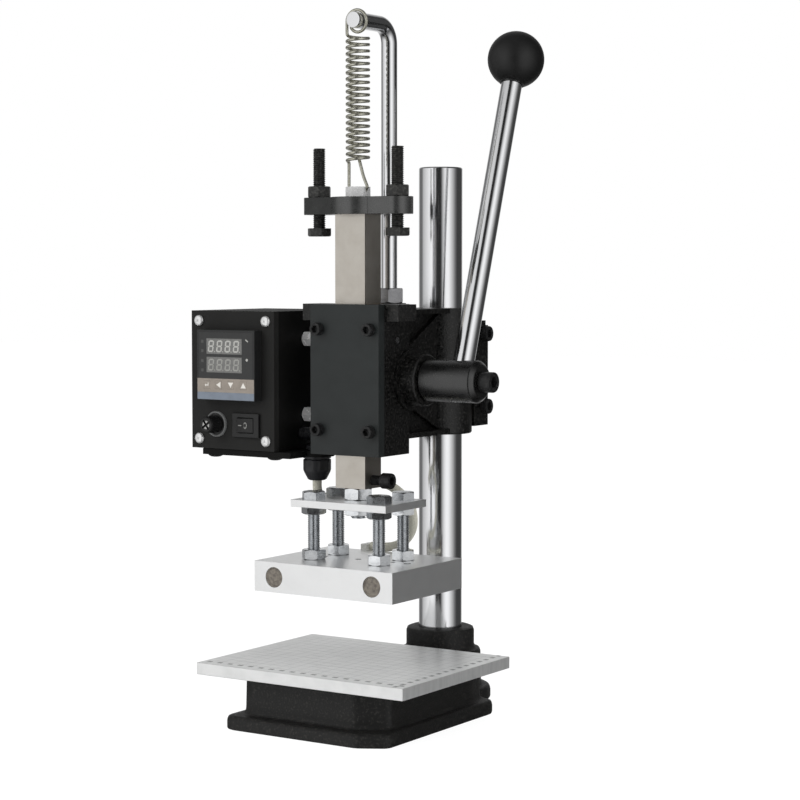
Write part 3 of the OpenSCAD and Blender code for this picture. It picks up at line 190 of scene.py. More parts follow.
class Surface(Nodes):
    """A Principled material whose colour, roughness and bump come from procedural nodes in the row's own frame."""

    def __init__(self, name, colour, rough, **more):
        self.material = bpy.data.materials.new(name)
        self.material.use_nodes = True
        super().__init__(self.material.node_tree)
        self.shader = self.tree.nodes["Principled BSDF"]
        self.shader.inputs["Base Color"].default_value = (*colour, 1.0)
        self.shader.inputs["Roughness"].default_value = rough
        for key, value in more.items():
            self.shader.inputs[SHADER_INPUTS[key]].default_value = value
        self.place = self.add("TexCoord").outputs["Object"]

    def axes(self):
        return self.add("SeparateXYZ", {0: self.place}).outputs

    def stretched(self, stretch):
        return self.add("Mapping", {"Scale": stretch, "Vector": self.place}).outputs["Vector"]

    def noise(self, scale, detail=3.0, rough=0.55, stretch=(1, 1, 1)):
        return self.add("TexNoise", {"Scale": scale, "Detail": detail, "Roughness": rough,
                                     "Vector": self.stretched(stretch)}).outputs["Fac"]

    def tint(self, share, other):
        """Mixes another colour over what the shader has, by a share."""
        socket = self.shader.inputs["Base Color"]
        under = socket.links[0].from_socket if socket.is_linked else tuple(socket.default_value)
        self.feed(self.mix(share, under, (*other, 1.0)), socket)

    def bump(self, height, depth_mm, strength):
        """Adds a bump on top of those that the shader has."""
        socket = self.shader.inputs["Normal"]
        node = self.add("Bump", {"Distance": depth_mm * MM, "Strength": strength, "Height": height})
        if socket.is_linked:
            self.feed(socket.links[0].from_socket, node.inputs["Normal"])
        self.feed(node.outputs["Normal"], socket)

    def vary(self, tint=None, roughness=None, bumps=()):
        """Gives colour, roughness and bump their noise."""
        if tint:
            grain, low, high, other = tint
            self.tint(self.spread(self.noise(*grain), low, high), other)
        if roughness:
            grain, smoothest, roughest, *ends = roughness
            low, high = ends or (0.3, 0.7)
            self.feed(self.spread(self.noise(*grain), low, high, smoothest, roughest), self.shader.inputs["Roughness"])
        for grain, depth_mm, strength in bumps:
            self.bump(self.noise(*grain), depth_mm, strength)


def surface(name, colour, rough, tint=None, roughness=None, bumps=(), **more):
    s = Surface(name, colour, rough, **more)
    s.vary(tint, roughness, bumps)
    return s.material


def cast_paint(name, colour, speck, specular, smoothest, roughest):
    """Black paint on sand-cast iron: coarse grain with pale specks, partly the grain's own tone and partly painted
    glints.
    """
    grain = (560, 3, 0.6)
    return surface(name, colour, roughest, (grain, 0.52, 0.72, speck), (grain, smoothest, roughest),
                   [((170, 2), 0.3, 0.6), (grain, 0.34, 0.9)], specular=specular)


def flange_paint():
    """Smooth paint on the milled stop flange, with a painted sheen: its specular rises from its middle to the right."""
    s = Surface("flange_paint", (0.024, 0.0245, 0.024), 0.24, specular=1.0)
    s.vary(((90, 3), 0.4, 0.75, (0.032, 0.0325, 0.032)), ((300, 3), 0.2, 0.32), [((900, 2), 0.015, 0.5)])
    # Painted sheen: the specular strength climbs along x, so the right half shines brighter.
    sheen_fade_from, sheen_full_from = -11, -4
    painted_sheen_level = s.spread(s.axes()[0], sheen_fade_from * MM, sheen_full_from * MM, 0.14, 1.0)
    s.feed(painted_sheen_level, s.shader.inputs["Specular IOR Level"])
    return s.material


def panel_paint(name, colour, speck, specular):
    """Fine textured powder coat on sheet metal."""
    grain = (2600, 3, 0.6)
    return surface(name, colour, 0.55, (grain, 0.5, 0.75, speck), ((60, 2), 0.46, 0.58), [(grain, 0.04, 0.6)],
                   specular=specular)


def black_oxide(name, colour, wear_and_sheen):
    """Blackened steel of the screws, greyer where it is handled; a lighter copy of both colours is a painted sheen."""
    patches = (500, 3)
    return surface(name, colour, 0.36, (patches, 0.5, 0.72, wear_and_sheen), (patches, 0.32, 0.5), [((2500, 2), 0.02, 0.4)],
                   metal=0.3, specular=0.4)


def zinc(name, level, smoothest, roughest):
    """Bluish zinc plate of the levelling bolts and nuts, bright or dull."""
    bloom = (260, 4)
    dull = level * 0.84
    return surface(name, (level, level + 0.02, level + 0.04), roughest,
                   (bloom, 0.45, 0.7, (dull, dull + 0.02, dull + 0.045)), (bloom, smoothest, roughest),
                   [((1600, 3), 0.015, 0.14)], metal=1.0)


def nickel(name, metal):
    """Bright nickel plate of small fittings."""
    return surface(name, (0.86, 0.86, 0.86), 0.26, ((140, 3), 0.45, 0.75, (0.78, 0.78, 0.78)), ((240, 3), 0.22, 0.3),
                   metal=metal)


def moulded(name, colour, rough):
    """Moulded plastic with a fine grain."""
    return surface(name, colour, rough, ((150, 3), 0.4, 0.8, [c * 0.85 for c in colour]),
                   ((1200, 2), rough - 0.06, rough + 0.08), [((2200, 2), 0.015, 0.4)])


def ruled_table():
    """Work table: matt aluminium with a fine ruled grid and a dashed scale along two of its edges."""
    low, high = box_mm("work_table")
    s = Surface("ruled_table", (0.86, 0.865, 0.86), 0.34, metal=0.75)
    x, y, z = s.axes()
    pitch, line, dash = 10, 0.5, 4.5
    margin, outward, inward = 9, 2, 1.5

    def both(a, b):
        return s.math("MULTIPLY", a, b)

    def near_rule(axis, width):
        return s.math("LESS_THAN", s.math("PINGPONG", axis, pitch * MM / 2), width * MM / 2)

    def strip(axis, start, end):
        return both(s.math("GREATER_THAN", axis, start * MM), s.math("LESS_THAN", axis, end * MM))

    on_top = s.math("GREATER_THAN", z, (high.z - 0.2) * MM)
    inside = both(strip(x, low.x + margin, high.x - margin), strip(y, low.y + margin, high.y - margin))
    rules = s.math("MAXIMUM", near_rule(x, line), near_rule(y, line))
    front_scale = both(strip(y, low.y + margin - outward, low.y + margin + inward), near_rule(x, dash))
    side_scale = both(strip(x, high.x - margin - inward, high.x - margin + outward), near_rule(y, dash))
    scale = both(s.math("MAXIMUM", front_scale, side_scale), on_top)
    ruled = both(both(rules, inside), on_top)
    s.vary(((40, 4, 0.55, (1, 6, 1)), 0.4, 0.8, (0.72, 0.73, 0.725)), ((500, 3, 0.55, (8, 0.3, 1)), 0.3, 0.46))
    s.tint(both(ruled, 0.45), (0.25, 0.25, 0.25))
    s.tint(both(scale, 0.75), (0.12, 0.12, 0.12))
    s.bump(s.math("SUBTRACT", 1.0, s.math("MAXIMUM", ruled, scale)), 0.05, 0.5)
    return s.material


def braided_sleeve():
    """Off-white glass-fibre braid."""
    s = Surface("braided_sleeve", (0.66, 0.65, 0.56), 0.8, specular=0.2, sheen=0.25)
    weave = s.add("TexVoronoi", {"Scale": 1300, "Vector": s.stretched((1, 1, 1.6))}).outputs["Distance"]
    s.tint(s.spread(weave, 0.3, 0.75), (0.48, 0.47, 0.40))
    s.bump(weave, 0.12, 0.8)
    return s.material


# Shapes: each add_ function adds to a mesh and hands the mesh back


def box_mm(node):
    """Lowest and highest corner of a CAD node in millimetres."""
    low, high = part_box(node)
    return low / MM, high / MM


def merged(node):
    """Mesh of a CAD node, with the corners of neighbouring faces joined."""
    bm = bmesh.new()
    bm.from_mesh(nodes[node].data)
    bmesh.ops.remove_doubles(bm, verts=bm.verts, dist=MM * 0.001)
    return bm


def islands(node):
    """Boxes, in millimetres, of the separate solids of a CAD node."""
    bm = merged(node)
    seen = set()
    found = []
    for start in bm.verts:
        if start in seen:
            continue
        solid = rim = {start}
        while rim:
            rim = {e.other_vert(v) for v in rim for e in v.link_edges} - solid
            solid = solid | rim
        seen |= solid
        found.append([Vector([pick(v.co[i] for v in solid) for i in range(3)]) / MM for pick in (min, max)])
    bm.free()
    return sorted(found, key=lambda pair: tuple(round(v, 1) for v in pair[0]))


def placed(origin, direction=(0, 0, 1), spin=0.0):
    """Matrix that carries a shape built along +Z to an origin and a direction."""
    turn = Vector(direction).to_track_quat("Z", "Y").to_matrix().to_4x4()
    return Matrix.Translation(origin) @ turn @ Matrix.Rotation(radians(spin), 4, "Z")


def upright(low, high, spin=0.0):
    """Matrix that puts a shape on the upright axis of a box."""
    centre = (low + high) / 2
    return placed((centre.x, centre.y, 0), spin=spin)


def polar(radius, angle, z):
    return radius * cos(angle), radius * sin(angle), z


def around(count, offset=0.0):
    return [2 * pi * (i + offset) / count for i in range(count)]


def sweep(angle, steps):
    return [angle * i / steps for i in range(steps + 1)]


def bent(before, corner, after, reach, steps):
    """Points of a curve that rounds a corner by a reach along both legs."""
    span = min(reach, (before - corner).length * 0.45, (after - corner).length * 0.45)
    a = corner + (before - corner).normalized() * span
    b = corner + (after - corner).normalized() * span
    return [a * (1 - t) ** 2 + corner * 2 * t * (1 - t) + b * t ** 2 for t in sweep(1, steps)]


def soften(profile, reach):
    """Rounds the inner corners of an open profile."""
    points = [Vector(p) for p in profile]
    result = [points[0]]
    for before, corner, after in zip(points, points[1:], points[2:]):
        result += bent(before, corner, after, reach, 3)
    return result + [points[-1]]


def closed_corners(points):
    return zip(points[-1:] + points[:-1], points, points[1:] + points[:1])


def round_plan(points, reach):
    """Rounds the corners of a closed outline."""
    return [p for corner in closed_corners(points) for p in bent(*corner, reach, 4)]


def inset_plan(points, inset):
    """Moves every side of a counter-clockwise outline inwards."""
    moved = []
    for before, here, after in closed_corners(points):
        a = (here - before).normalized()
        b = (after - here).normalized()
        normal = Vector((-a.y - b.y, a.x + b.x))
        moved.append(here + normal * inset / (1 + a.dot(b)))
    return moved


def add_rings(bm, rings, at=Matrix(), closed=False):
    """Skin over rings of equally many points: capped at both ends, or closed on itself."""
    loops = [[bm.verts.new(at @ Vector(p)) for p in ring] for ring in rings]
    pairs = list(zip(loops, loops[1:]))
    if closed:
        pairs.append((loops[-1], loops[0]))
    for a, b in pairs:
        for i in range(len(a)):
            j = (i + 1) % len(a)
            bm.faces.new((a[i], a[j], b[j], b[i]))
    if not closed:
        bm.faces.new(list(reversed(loops[0])))
        bm.faces.new(loops[-1])
    return bm


def add_turned(bm, profile, at=Matrix(), sides=64, closed=False):
    """Turned solid from (radius, height) pairs."""
    return add_rings(bm, [[polar(r, a, z) for a in around(sides)] for r, z in profile], at, closed)


def hex_radius(af, angle):
    """Distance from the centre of a hexagon to its edge; a corner lies at angle 0."""
    sixth = pi / 3
    return af / 2 / cos((angle % sixth) - sixth / 2)


def add_hexagon(bm, af, z0, z1, at=Matrix(), bore=0.0, low_chamfer=True, high_chamfer=True):
    """Hexagon nut or head whose corners are turned off at 30 degrees, with an optional bore."""
    angles = around(72)
    turned = af / 2 * 0.96
    slope = tan(radians(30))
    lip = 0.5

    def circle(r, z):
        return [polar(r, a, z) for a in angles]

    def hexagon(z, rise):
        """Ring on the six flats that rises towards their corners."""
        return [polar(hex_radius(af, a), a, z + (hex_radius(af, a) - turned) * rise) for a in angles]

    rings = [circle(turned, z0), hexagon(z0, slope)] if low_chamfer else [hexagon(z0, 0)]
    rings += [hexagon(z1, -slope), circle(turned, z1)] if high_chamfer else [hexagon(z1, 0)]
    if bore:
        rings += [circle(r, z) for r, z in ((bore + lip, z1), (bore, z1 - lip), (bore, z0 + lip), (bore + lip, z0))]
    return add_rings(bm, rings, at, closed=bool(bore))


def add_thread(bm, radius, pitch, z0, z1, at=Matrix(), sides=20):
    """Rod with a rolled helical thread between two heights."""
    root = radius - pitch * 0.48
    wave_shares = ((0.0, radius), (0.12, radius), (0.46, root), (0.62, root))
    turns = int((z1 - z0) / pitch) + 3
    rings = []
    for turn in range(-2, turns):
        for share, r in wave_shares:
            heights = [z0 + (turn + share + i / sides) * pitch for i in range(sides)]
            rings.append([polar(r if z0 < z < z1 else root, a, min(max(z, z0), z1))
                          for z, a in zip(heights, around(sides))])
    start = len(bm.verts)
    columns = [[bm.verts.new(at @ Vector(ring[i])) for ring in rings] for i in range(sides)]
    for i, a in enumerate(columns):
        b = columns[(i + 1) % sides]
        lift = len(wave_shares) if i == sides - 1 else 0
        for k in range(len(a) - 1 - lift):
            bm.faces.new((a[k + lift], b[k], b[k + 1], a[k + 1 + lift]))
    bm.verts.ensure_lookup_table()
    bmesh.ops.remove_doubles(bm, verts=bm.verts[start:], dist=0.0005)
    bmesh.ops.holes_fill(bm, edges=[e for e in bm.edges if e.is_boundary], sides=0)
    return bm


def add_socket_head(bm, radius, height, at=Matrix(), grip=0.0):
    """Cylinder head with a rounded rim, a hexagon socket and an optional knurled side."""
    angles = around(72)
    edge = min(0.8, radius * 0.16)
    socket = radius * 1.02
    lip = 0.35

    def ring(r, z, knurled=False):
        return [polar(r - (grip if knurled and i % 2 else 0.0), a, z) for i, a in enumerate(angles)]

    def hexagon(z, grow=0.0):
        return [polar(hex_radius(socket, a) + grow, a, z) for a in angles]

    add_rings(bm, [ring(radius - edge, 0), ring(radius, edge * 0.7, True), ring(radius, height - edge * 1.4, True),
                   ring(radius - edge * 0.3, height - edge * 0.3), ring(radius - edge, height),
                   hexagon(height, lip), hexagon(height - lip), hexagon(height * 0.42)], at)


def add_block(bm, low, high, round_off=0.0, steps=2):
    """Box between two corners with rounded edges."""
    centre = (Vector(low) + Vector(high)) / 2
    size = Vector(high) - Vector(low)
    made = bmesh.ops.create_cube(bm, size=1, matrix=Matrix.Translation(centre) @ Matrix.Diagonal((*size, 1)))
    if round_off:
        edges = {e for v in made["verts"] for e in v.link_edges}
        bmesh.ops.bevel(bm, geom=list(edges), offset=round_off, segments=steps, affect="EDGES", profile=0.5)


def add_prism(bm, outline, stations, at=Matrix()):
    """Flat outline in X and Z pulled along Y between two stations."""
    return add_rings(bm, [[(x, y, z) for x, z in outline] for y in stations], at)


def smooth_path(points, steps):
    """Catmull-Rom curve through points, with a number of steps between each two."""
    p = [Vector(q) for q in points]
    p = [p[0] * 2 - p[1]] + p + [p[-1] * 2 - p[-2]]
    curve = []
    for a, b, c, d in zip(p, p[1:], p[2:], p[3:]):
        for i in range(steps):
            t = i / steps
            curve.append(0.5 * (b * 2 + (c - a) * t + (a * 2 - b * 5 + c * 4 - d) * t ** 2
                                + (b * 3 - a - c * 3 + d) * t ** 3))
    curve.append(p[-2])
    return curve


def add_tube(bm, path, radius_at, sides=16, side=(0, 1, 0)):
    """Round tube along a path; radius_at gives the radius at each point's number."""
    rings = []
    side = Vector(side)
    for i, point in enumerate(path):
        ahead = path[min(i + 1, len(path) - 1)] - path[max(i - 1, 0)]
        ahead.normalize()
        side = (side - ahead * side.dot(ahead)).normalized()
        up = ahead.cross(side)
        r = radius_at(i)
        rings.append([point + (side * cos(a) + up * sin(a)) * r for a in around(sides)])
    return add_rings(bm, rings)


def rounded_plan(x0, x1, y0, y1, r, steps=8):
    """Rectangle with round corners, counter-clockwise."""
    points = []
    for cx, cy, start in ((x1 - r, y0 + r, -90), (x1 - r, y1 - r, 0), (x0 + r, y1 - r, 90), (x0 + r, y0 + r, 180)):
        for degrees in sweep(90, steps):
            a = radians(start + degrees)
            points.append((cx + r * cos(a), cy + r * sin(a)))
    return points


def plus_outline(half, arm):
    """Outline of a cross with arms of a half width and a length."""
    corner = [(half, half), (half, arm), (-half, arm)]
    return [(x * c - y * s, x * s + y * c) for c, s in ((1, 0), (0, 1), (-1, 0), (0, -1)) for x, y in corner]


# Pieces


def new_object(name, bm):
    """Object with a mesh of its own; the shape is used up."""
    mesh = bpy.data.meshes.new(name)
    bm.to_mesh(mesh)
    bm.free()
    obj = bpy.data.objects.new(name, mesh)
    bpy.context.scene.collection.objects.link(obj)
    return obj


def to_metres(bm):
    bmesh.ops.recalc_face_normals(bm, faces=bm.faces)
    bm.transform(Matrix.Scale(MM, 4))
    return bm


def modify(obj, kind, **settings):
    """Adds a modifier to a piece and applies it."""
    modifier = obj.modifiers.new(kind.lower(), kind)
    for name, value in settings.items():
        setattr(modifier, name, value)
    bpy.context.view_layer.update()
    mesh = bpy.data.meshes.new_from_object(obj.evaluated_get(bpy.context.evaluated_depsgraph_get()))
    obj.modifiers.clear()
    obj.data = mesh


def set_material(obj, material):
    obj.data.materials.clear()
    obj.data.materials.append(material)


def finish_piece(obj, material, body, replaced, angle=35):
    """Shades a piece smooth but for sharp edges, and seats it on its body in place of its CAD nodes."""
    mesh = obj.data
    mesh.polygons.foreach_set("use_smooth", [True] * len(mesh.polygons))
    mesh.set_sharp_from_angle(angle=radians(angle))
    modify(obj, "WEIGHTED_NORMAL", keep_sharp=True)
    set_material(obj, material)
    if body:
        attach(obj, body)
    if replaced:
        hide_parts(*replaced)
    return obj


def piece(name, bm, material, body, replaced=(), cuts=(), angle=35):
    """Turns a shape in millimetres into a piece, with other closed shapes cut out of it."""
    obj = new_object(name, to_metres(bm))
    for cutter in cuts:
        tool = new_object("cutter", to_metres(cutter))
        modify(obj, "BOOLEAN", operation="DIFFERENCE", solver="EXACT", object=tool)
        bpy.data.objects.remove(tool)
    return finish_piece(obj, material, body, replaced, angle)


def stand_in(node, bm, material, cuts=(), angle=35):
    """Piece that stands for one CAD node."""
    piece(node + "_shape", bm, material, BODY_OF[node], [node], cuts, angle)


def dress(node, round_off, material, steps=2):
    """Copy of a CAD node with its edges rounded, which stands for the node."""
    bm = merged(node)
    bmesh.ops.dissolve_limit(bm, angle_limit=radians(0.5), verts=bm.verts, edges=bm.edges)
    obj = new_object(node + "_dressed", bm)
    modify(obj, "BEVEL", width=round_off * MM, segments=steps, limit_method="ANGLE", angle_limit=radians(28),
           miter_outer="MITER_ARC")
    finish_piece(obj, material, BODY_OF[node], [node])


def make_camera():
    data = bpy.data.cameras.new("camera")
    data.sensor_width = SENSOR_MM
    data.lens = SENSOR_MM * FOCAL_PX / IMAGE_PX
    data.clip_start = 0.05
    camera = bpy.data.objects.new("camera", data)
    camera.location = CAMERA_PLACE
    camera.rotation_euler = (radians(90 - CAMERA_PITCH), 0, radians(CAMERA_TURN))
    bpy.context.scene.collection.objects.link(camera)
    bpy.context.scene.camera = camera


def heater_cable():
    """Sleeved cable from the gland to the terminal block."""
    path = smooth_path(CABLE_ROUTE, 5)
    obj = piece("heater_cable_sleeve", add_tube(bmesh.new(), path, lambda i: CABLE_D / 2, sides=24),
                SLEEVE, None, ["heater_cable"])
    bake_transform(obj)


def base_ring(plan, inset, z):
    """Level outline of the base: a rectangle with cut corners, and a round tail behind it."""
    x, front, back, left, right, rear, tail = plan
    half = [(x - right[0], front), (x, front + right[1]), (x, back - rear[1]), (x - rear[0], back), (tail, back)]
    half += [(tail * cos(a), COLUMN_Y + tail * sin(a)) for a in sweep(pi, 24)]
    half += [(-tail, back), (-x + rear[0], back), (-x, back - rear[1]), (-x, front + left[1]), (-x + left[0], front)]
    return [(p.x, p.y, z) for p in round_plan(inset_plan([Vector(p) for p in half], inset), 4.5)]


def base():
    """Hollow base casting with its rounded foot, and the boss that holds the column."""
    rings = [base_ring(FOOT_PLAN, inset, z) for inset, z in
             ((1.5, 0), (0.4, 0.4), (0, 1.5), (0, 6.6), (0.4, 8.6), (1.3, 10.2), (2.8, 11.0), (4.2, 11.1))]
    rings += [base_ring(WALL_PLAN, inset, z) for inset, z in
              ((-2.6, 11.3), (-1.3, 11.8), (-0.3, 13.2), (0, 15.5), (0.5, 39.2), (1.0, 40.7), (2.2, BASE_TOP))]
    bm = bmesh.new()
    add_rings(bm, rings)
    pockets = bmesh.new()
    for plan in POCKETS:
        plan = [Vector(p) for p in plan]
        add_rings(pockets, [[(p.x, p.y, z) for p in round_plan(inset_plan(plan, draft), 7)]
                            for draft, z in ((0, -1), (1.2, POCKET_TOP))])
    at = placed((0, COLUMN_Y, 0))
    add_turned(pockets, [(BOSS_BORE_R, COLUMN_SEAT), (BOSS_BORE_R, BASE_TOP + 2)], at)
    stand_in("base_casting", bm, CAST, [pockets])
    top = box_mm("base_casting")[1].z
    profile = [(BOSS_BORE_R, 39), (BOSS_BORE_R, top - 0.6), (18.7, top), (25.2, top), (27.5, top - 0.9),
               (BOSS_R, top - 3.2), (BOSS_R, 45.5), (29.1, 43.2), (30.6, 42.0), (32.8, 41.6), (32.8, 39)]
    piece("column_boss", add_turned(bmesh.new(), profile, at, sides=96, closed=True), CAST, "base")


def column():
    """Chromed column with a chamfered top and a centre drilled hole."""
    low, high = box_mm("column")
    r = (high.x - low.x) / 2
    profile = [(r - 1, low.z), (r, low.z + 1), (r, high.z - 1.4), (r - 0.25, high.z - 0.7), (r - 1.1, high.z),
               (4.2, high.z), (1.6, high.z - 4.2), (1.6, high.z - 9)]
    stand_in("column", add_turned(bmesh.new(), profile, placed((0, COLUMN_Y, 0)), sides=128), CHROME)


def screws(node, toward, material, head_h, thread_d, grip=0.0, pitch=1.0, dome=False):
    """Socket head screws of a node: each solid's box gives its place, length and head."""
    toward = Vector(toward)
    axis = max(range(3), key=lambda i: abs(toward[i]))
    bm = bmesh.new()
    for low, high in islands(node):
        size = high - low
        radius = max(size[i] for i in range(3) if i != axis) / 2
        seat = (low + high) / 2
        length = size[axis] - head_h
        seat[axis] = (high if toward[axis] > 0 else low)[axis] - toward[axis] * head_h
        at = placed(seat, toward)
        if dome:
            shape = [(radius - 0.4, 0), (radius, 0.5), (radius * 0.9, head_h * 0.55), (radius * 0.62, head_h * 0.9),
                     (2.3, head_h), (1.9, head_h - 0.2), (1.7, head_h * 0.4)]
            add_turned(bm, shape, at)
        else:
            add_socket_head(bm, radius, head_h, at, grip)
        add_thread(bm, thread_d / 2 - 0.05, pitch, -length, -0.05, at, sides=16)
    stand_in(node, bm, material, angle=40)


def nuts(node, af, bore, material, spins):
    """Hexagon nuts of a node, each turned by its own angle."""
    bm = bmesh.new()
    for spin, (low, high) in zip(spins, islands(node)):
        add_hexagon(bm, af, low.z, high.z, upright(low, high, spin), bore=bore)
    stand_in(node, bm, material)


def hex_bolts(node, boxes, spins, material, head_down=False, sides=20):
    """Bolts with rolled threads in a node's boxes, each with a hexagon head turned by its own angle."""
    bm = bmesh.new()
    for spin, (low, high) in zip(spins, boxes):
        at = upright(low, high, spin)
        neck = low.z + BOLT_HEAD_H if head_down else high.z - BOLT_HEAD_H
        head, thread = ((low.z, neck), (neck, high.z)) if head_down else ((neck, high.z), (low.z, neck))
        add_hexagon(bm, BOLT_AF, *head, at, low_chamfer=head_down, high_chamfer=not head_down)
        add_thread(bm, BOLT_R, BOLT_PITCH, *thread, at, sides)
    stand_in(node, bm, material)


def levelling():
    """Levelling bolts and the centre stud, with their nuts."""
    hex_bolts("levelling_bolts", islands("levelling_bolts"), HEAD_SPINS, DULL_ZINC)
    nuts("levelling_nuts", BOLT_AF, BOLT_R + 0.1, ZINC, NUT_SPINS)
    low, high = box_mm("centre_stud")
    stand_in("centre_stud", add_thread(bmesh.new(), CENTRE_R, CENTRE_PITCH, low.z, high.z, sides=28), DULL_ZINC)
    nuts("centre_nuts", CENTRE_AF, CENTRE_BORE_R, ZINC, (3, 3))


def stops():
    """Stop bolts that hang head down from the flange, with their nuts."""
    for node in ("stop_bolt_left", "stop_bolt_right"):
        hex_bolts(node, [box_mm(node)], [15], STOP_OXIDE, head_down=True, sides=24)
    nuts("stop_nuts", BOLT_AF, BOLT_R + 0.1, STOP_OXIDE, (0, 0))


def return_spring():
    """One wire: free end, bail through the seat, coils, and the ring that hangs on the arm."""
    foot = box_mm("stop_flange")[1].z
    hole = foot + SEAT_HOLE_UP
    start = foot + COIL_UP
    hook = foot + HOOK_UP
    top = hook - COIL_R - SPRING_WIRE_R * 2 - 0.5
    r = COIL_R
    bend = 2.5
    bail = [(r * 0.15, 0, start + 1), (r * 0.6, 0, (start + hole) / 2), (r, 0, hole + bend + 1.25),
            (r - 0.4, 0, hole + bend * 0.7), (r - bend * 0.7, 0, hole + 0.4), (r - bend - 1.25, 0, hole),
            (-r + bend + 1.25, 0, hole), (-r + bend * 0.7, 0, hole + 0.4), (-r + 0.4, 0, hole + bend * 0.7),
            (-r, 0, hole + bend + 1.25), (-r, 0, start - bend), (-r, -0.7, start - 0.8)]
    path = smooth_path(bail, 6)
    steps = 28
    for i in range(3, COIL_TURNS * steps + 1):
        height = start + (top - start) * i / (COIL_TURNS * steps)
        path.append(Vector(polar(r, pi + 2 * pi * i / steps, height)))
    ring_y, ring_turn = -2.5, 330
    lift = [path[-1], Vector((-r, -1.7, top + 0.8)), Vector((-r, ring_y, top + 2.5))]
    for turned in range(0, ring_turn + 1, 15):
        a = radians(180 - turned)
        lift.append(Vector((r * cos(a), ring_y + 3.75 * turned / ring_turn, hook + r * sin(a))))
    path += smooth_path(lift, 3)[1:]
    obj = piece("return_spring_wire", add_tube(bmesh.new(), path, lambda i: SPRING_WIRE_R, sides=12),
                WIRE, None, ["return_spring"])
    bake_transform(obj)


def spring_rod():
    """Chromed rod bent over the ram, with its lock nut."""
    low, high = box_mm("spring_rod")
    r = (high.x - low.x) / 2
    back = high.y - r
    arm = high.z - r
    bend = 15
    path = [Vector((0, back, low.z)), Vector((0, back, (low.z + arm) / 2))]
    path += [Vector((0, back - bend + bend * cos(a), arm - bend + bend * sin(a)))
             for a in sweep(pi / 2, 16)]
    path += [Vector((0, low.y + inward, arm)) for inward in (6, 0.9, 0.25, 0)]
    last = len(path) - 1
    chamfer = {last: r - 0.9, last - 1: r - 0.25}
    stand_in("spring_rod", add_tube(bmesh.new(), path, lambda i: chamfer.get(i, r), sides=48), CHROME)
    low, high = box_mm("spring_rod_nut")
    bm = bmesh.new()
    add_hexagon(bm, high.y - low.y, low.z, high.z, placed((0, back, 0)), bore=r + 0.1)
    stand_in("spring_rod_nut", bm, MACHINED)


def lever():
    """Lever hub, rod and ball."""
    low, high = box_mm("lever_hub")
    centre = (low + high) / 2
    r = (high.z - low.z) / 2
    bm = bmesh.new()
    profile = soften([(r - 6, low.x), (r, low.x), (r, high.x - 3.5), (r - 3.5, high.x), (5, high.x)], 1.1)
    add_turned(bm, [(q.x, q.y - low.x) for q in profile], placed((low.x, centre.y, centre.z), (1, 0, 0)), sides=96)
    stand_in("lever_hub", bm, HUB)
    rod_low, rod_high = box_mm("lever_rod")
    rod_r = (rod_high.x - rod_low.x) / 2
    ball_low, ball_high = box_mm("ball_knob")
    ball_r = (ball_high.x - ball_low.x) / 2
    lean = radians(LEVER_LEAN)
    axis = Vector(((rod_low.x + rod_high.x) / 2, centre.y, centre.z))
    at = placed(axis, (0, sin(lean), cos(lean)))
    reach = LEVER_REACH
    bm = bmesh.new()
    add_turned(bm, [(rod_r - 0.8, -6.9), (rod_r, -6.1), (rod_r, reach - 6), (rod_r - 1, reach - 5)], at, sides=96)
    stand_in("lever_rod", bm, CHROME)
    neck = rod_r + 2.2
    start = -acos(neck / ball_r)
    foot = reach + ball_r * sin(start)
    profile = [(rod_r + 0.05, reach - ball_r * 0.6), (rod_r + 0.05, foot - 0.2), (rod_r + 0.6, foot - 0.6),
               (neck - 0.5, foot - 0.6)]
    for turned in sweep(pi / 2 - 0.04 - start, 40):
        a = start + turned
        seam = 0.12 * exp(-(a / 0.02) ** 2)
        profile.append(((ball_r - seam) * cos(a), reach + (ball_r - seam) * sin(a)))
    stand_in("ball_knob", add_turned(bmesh.new(), profile, at, sides=96), BALL)


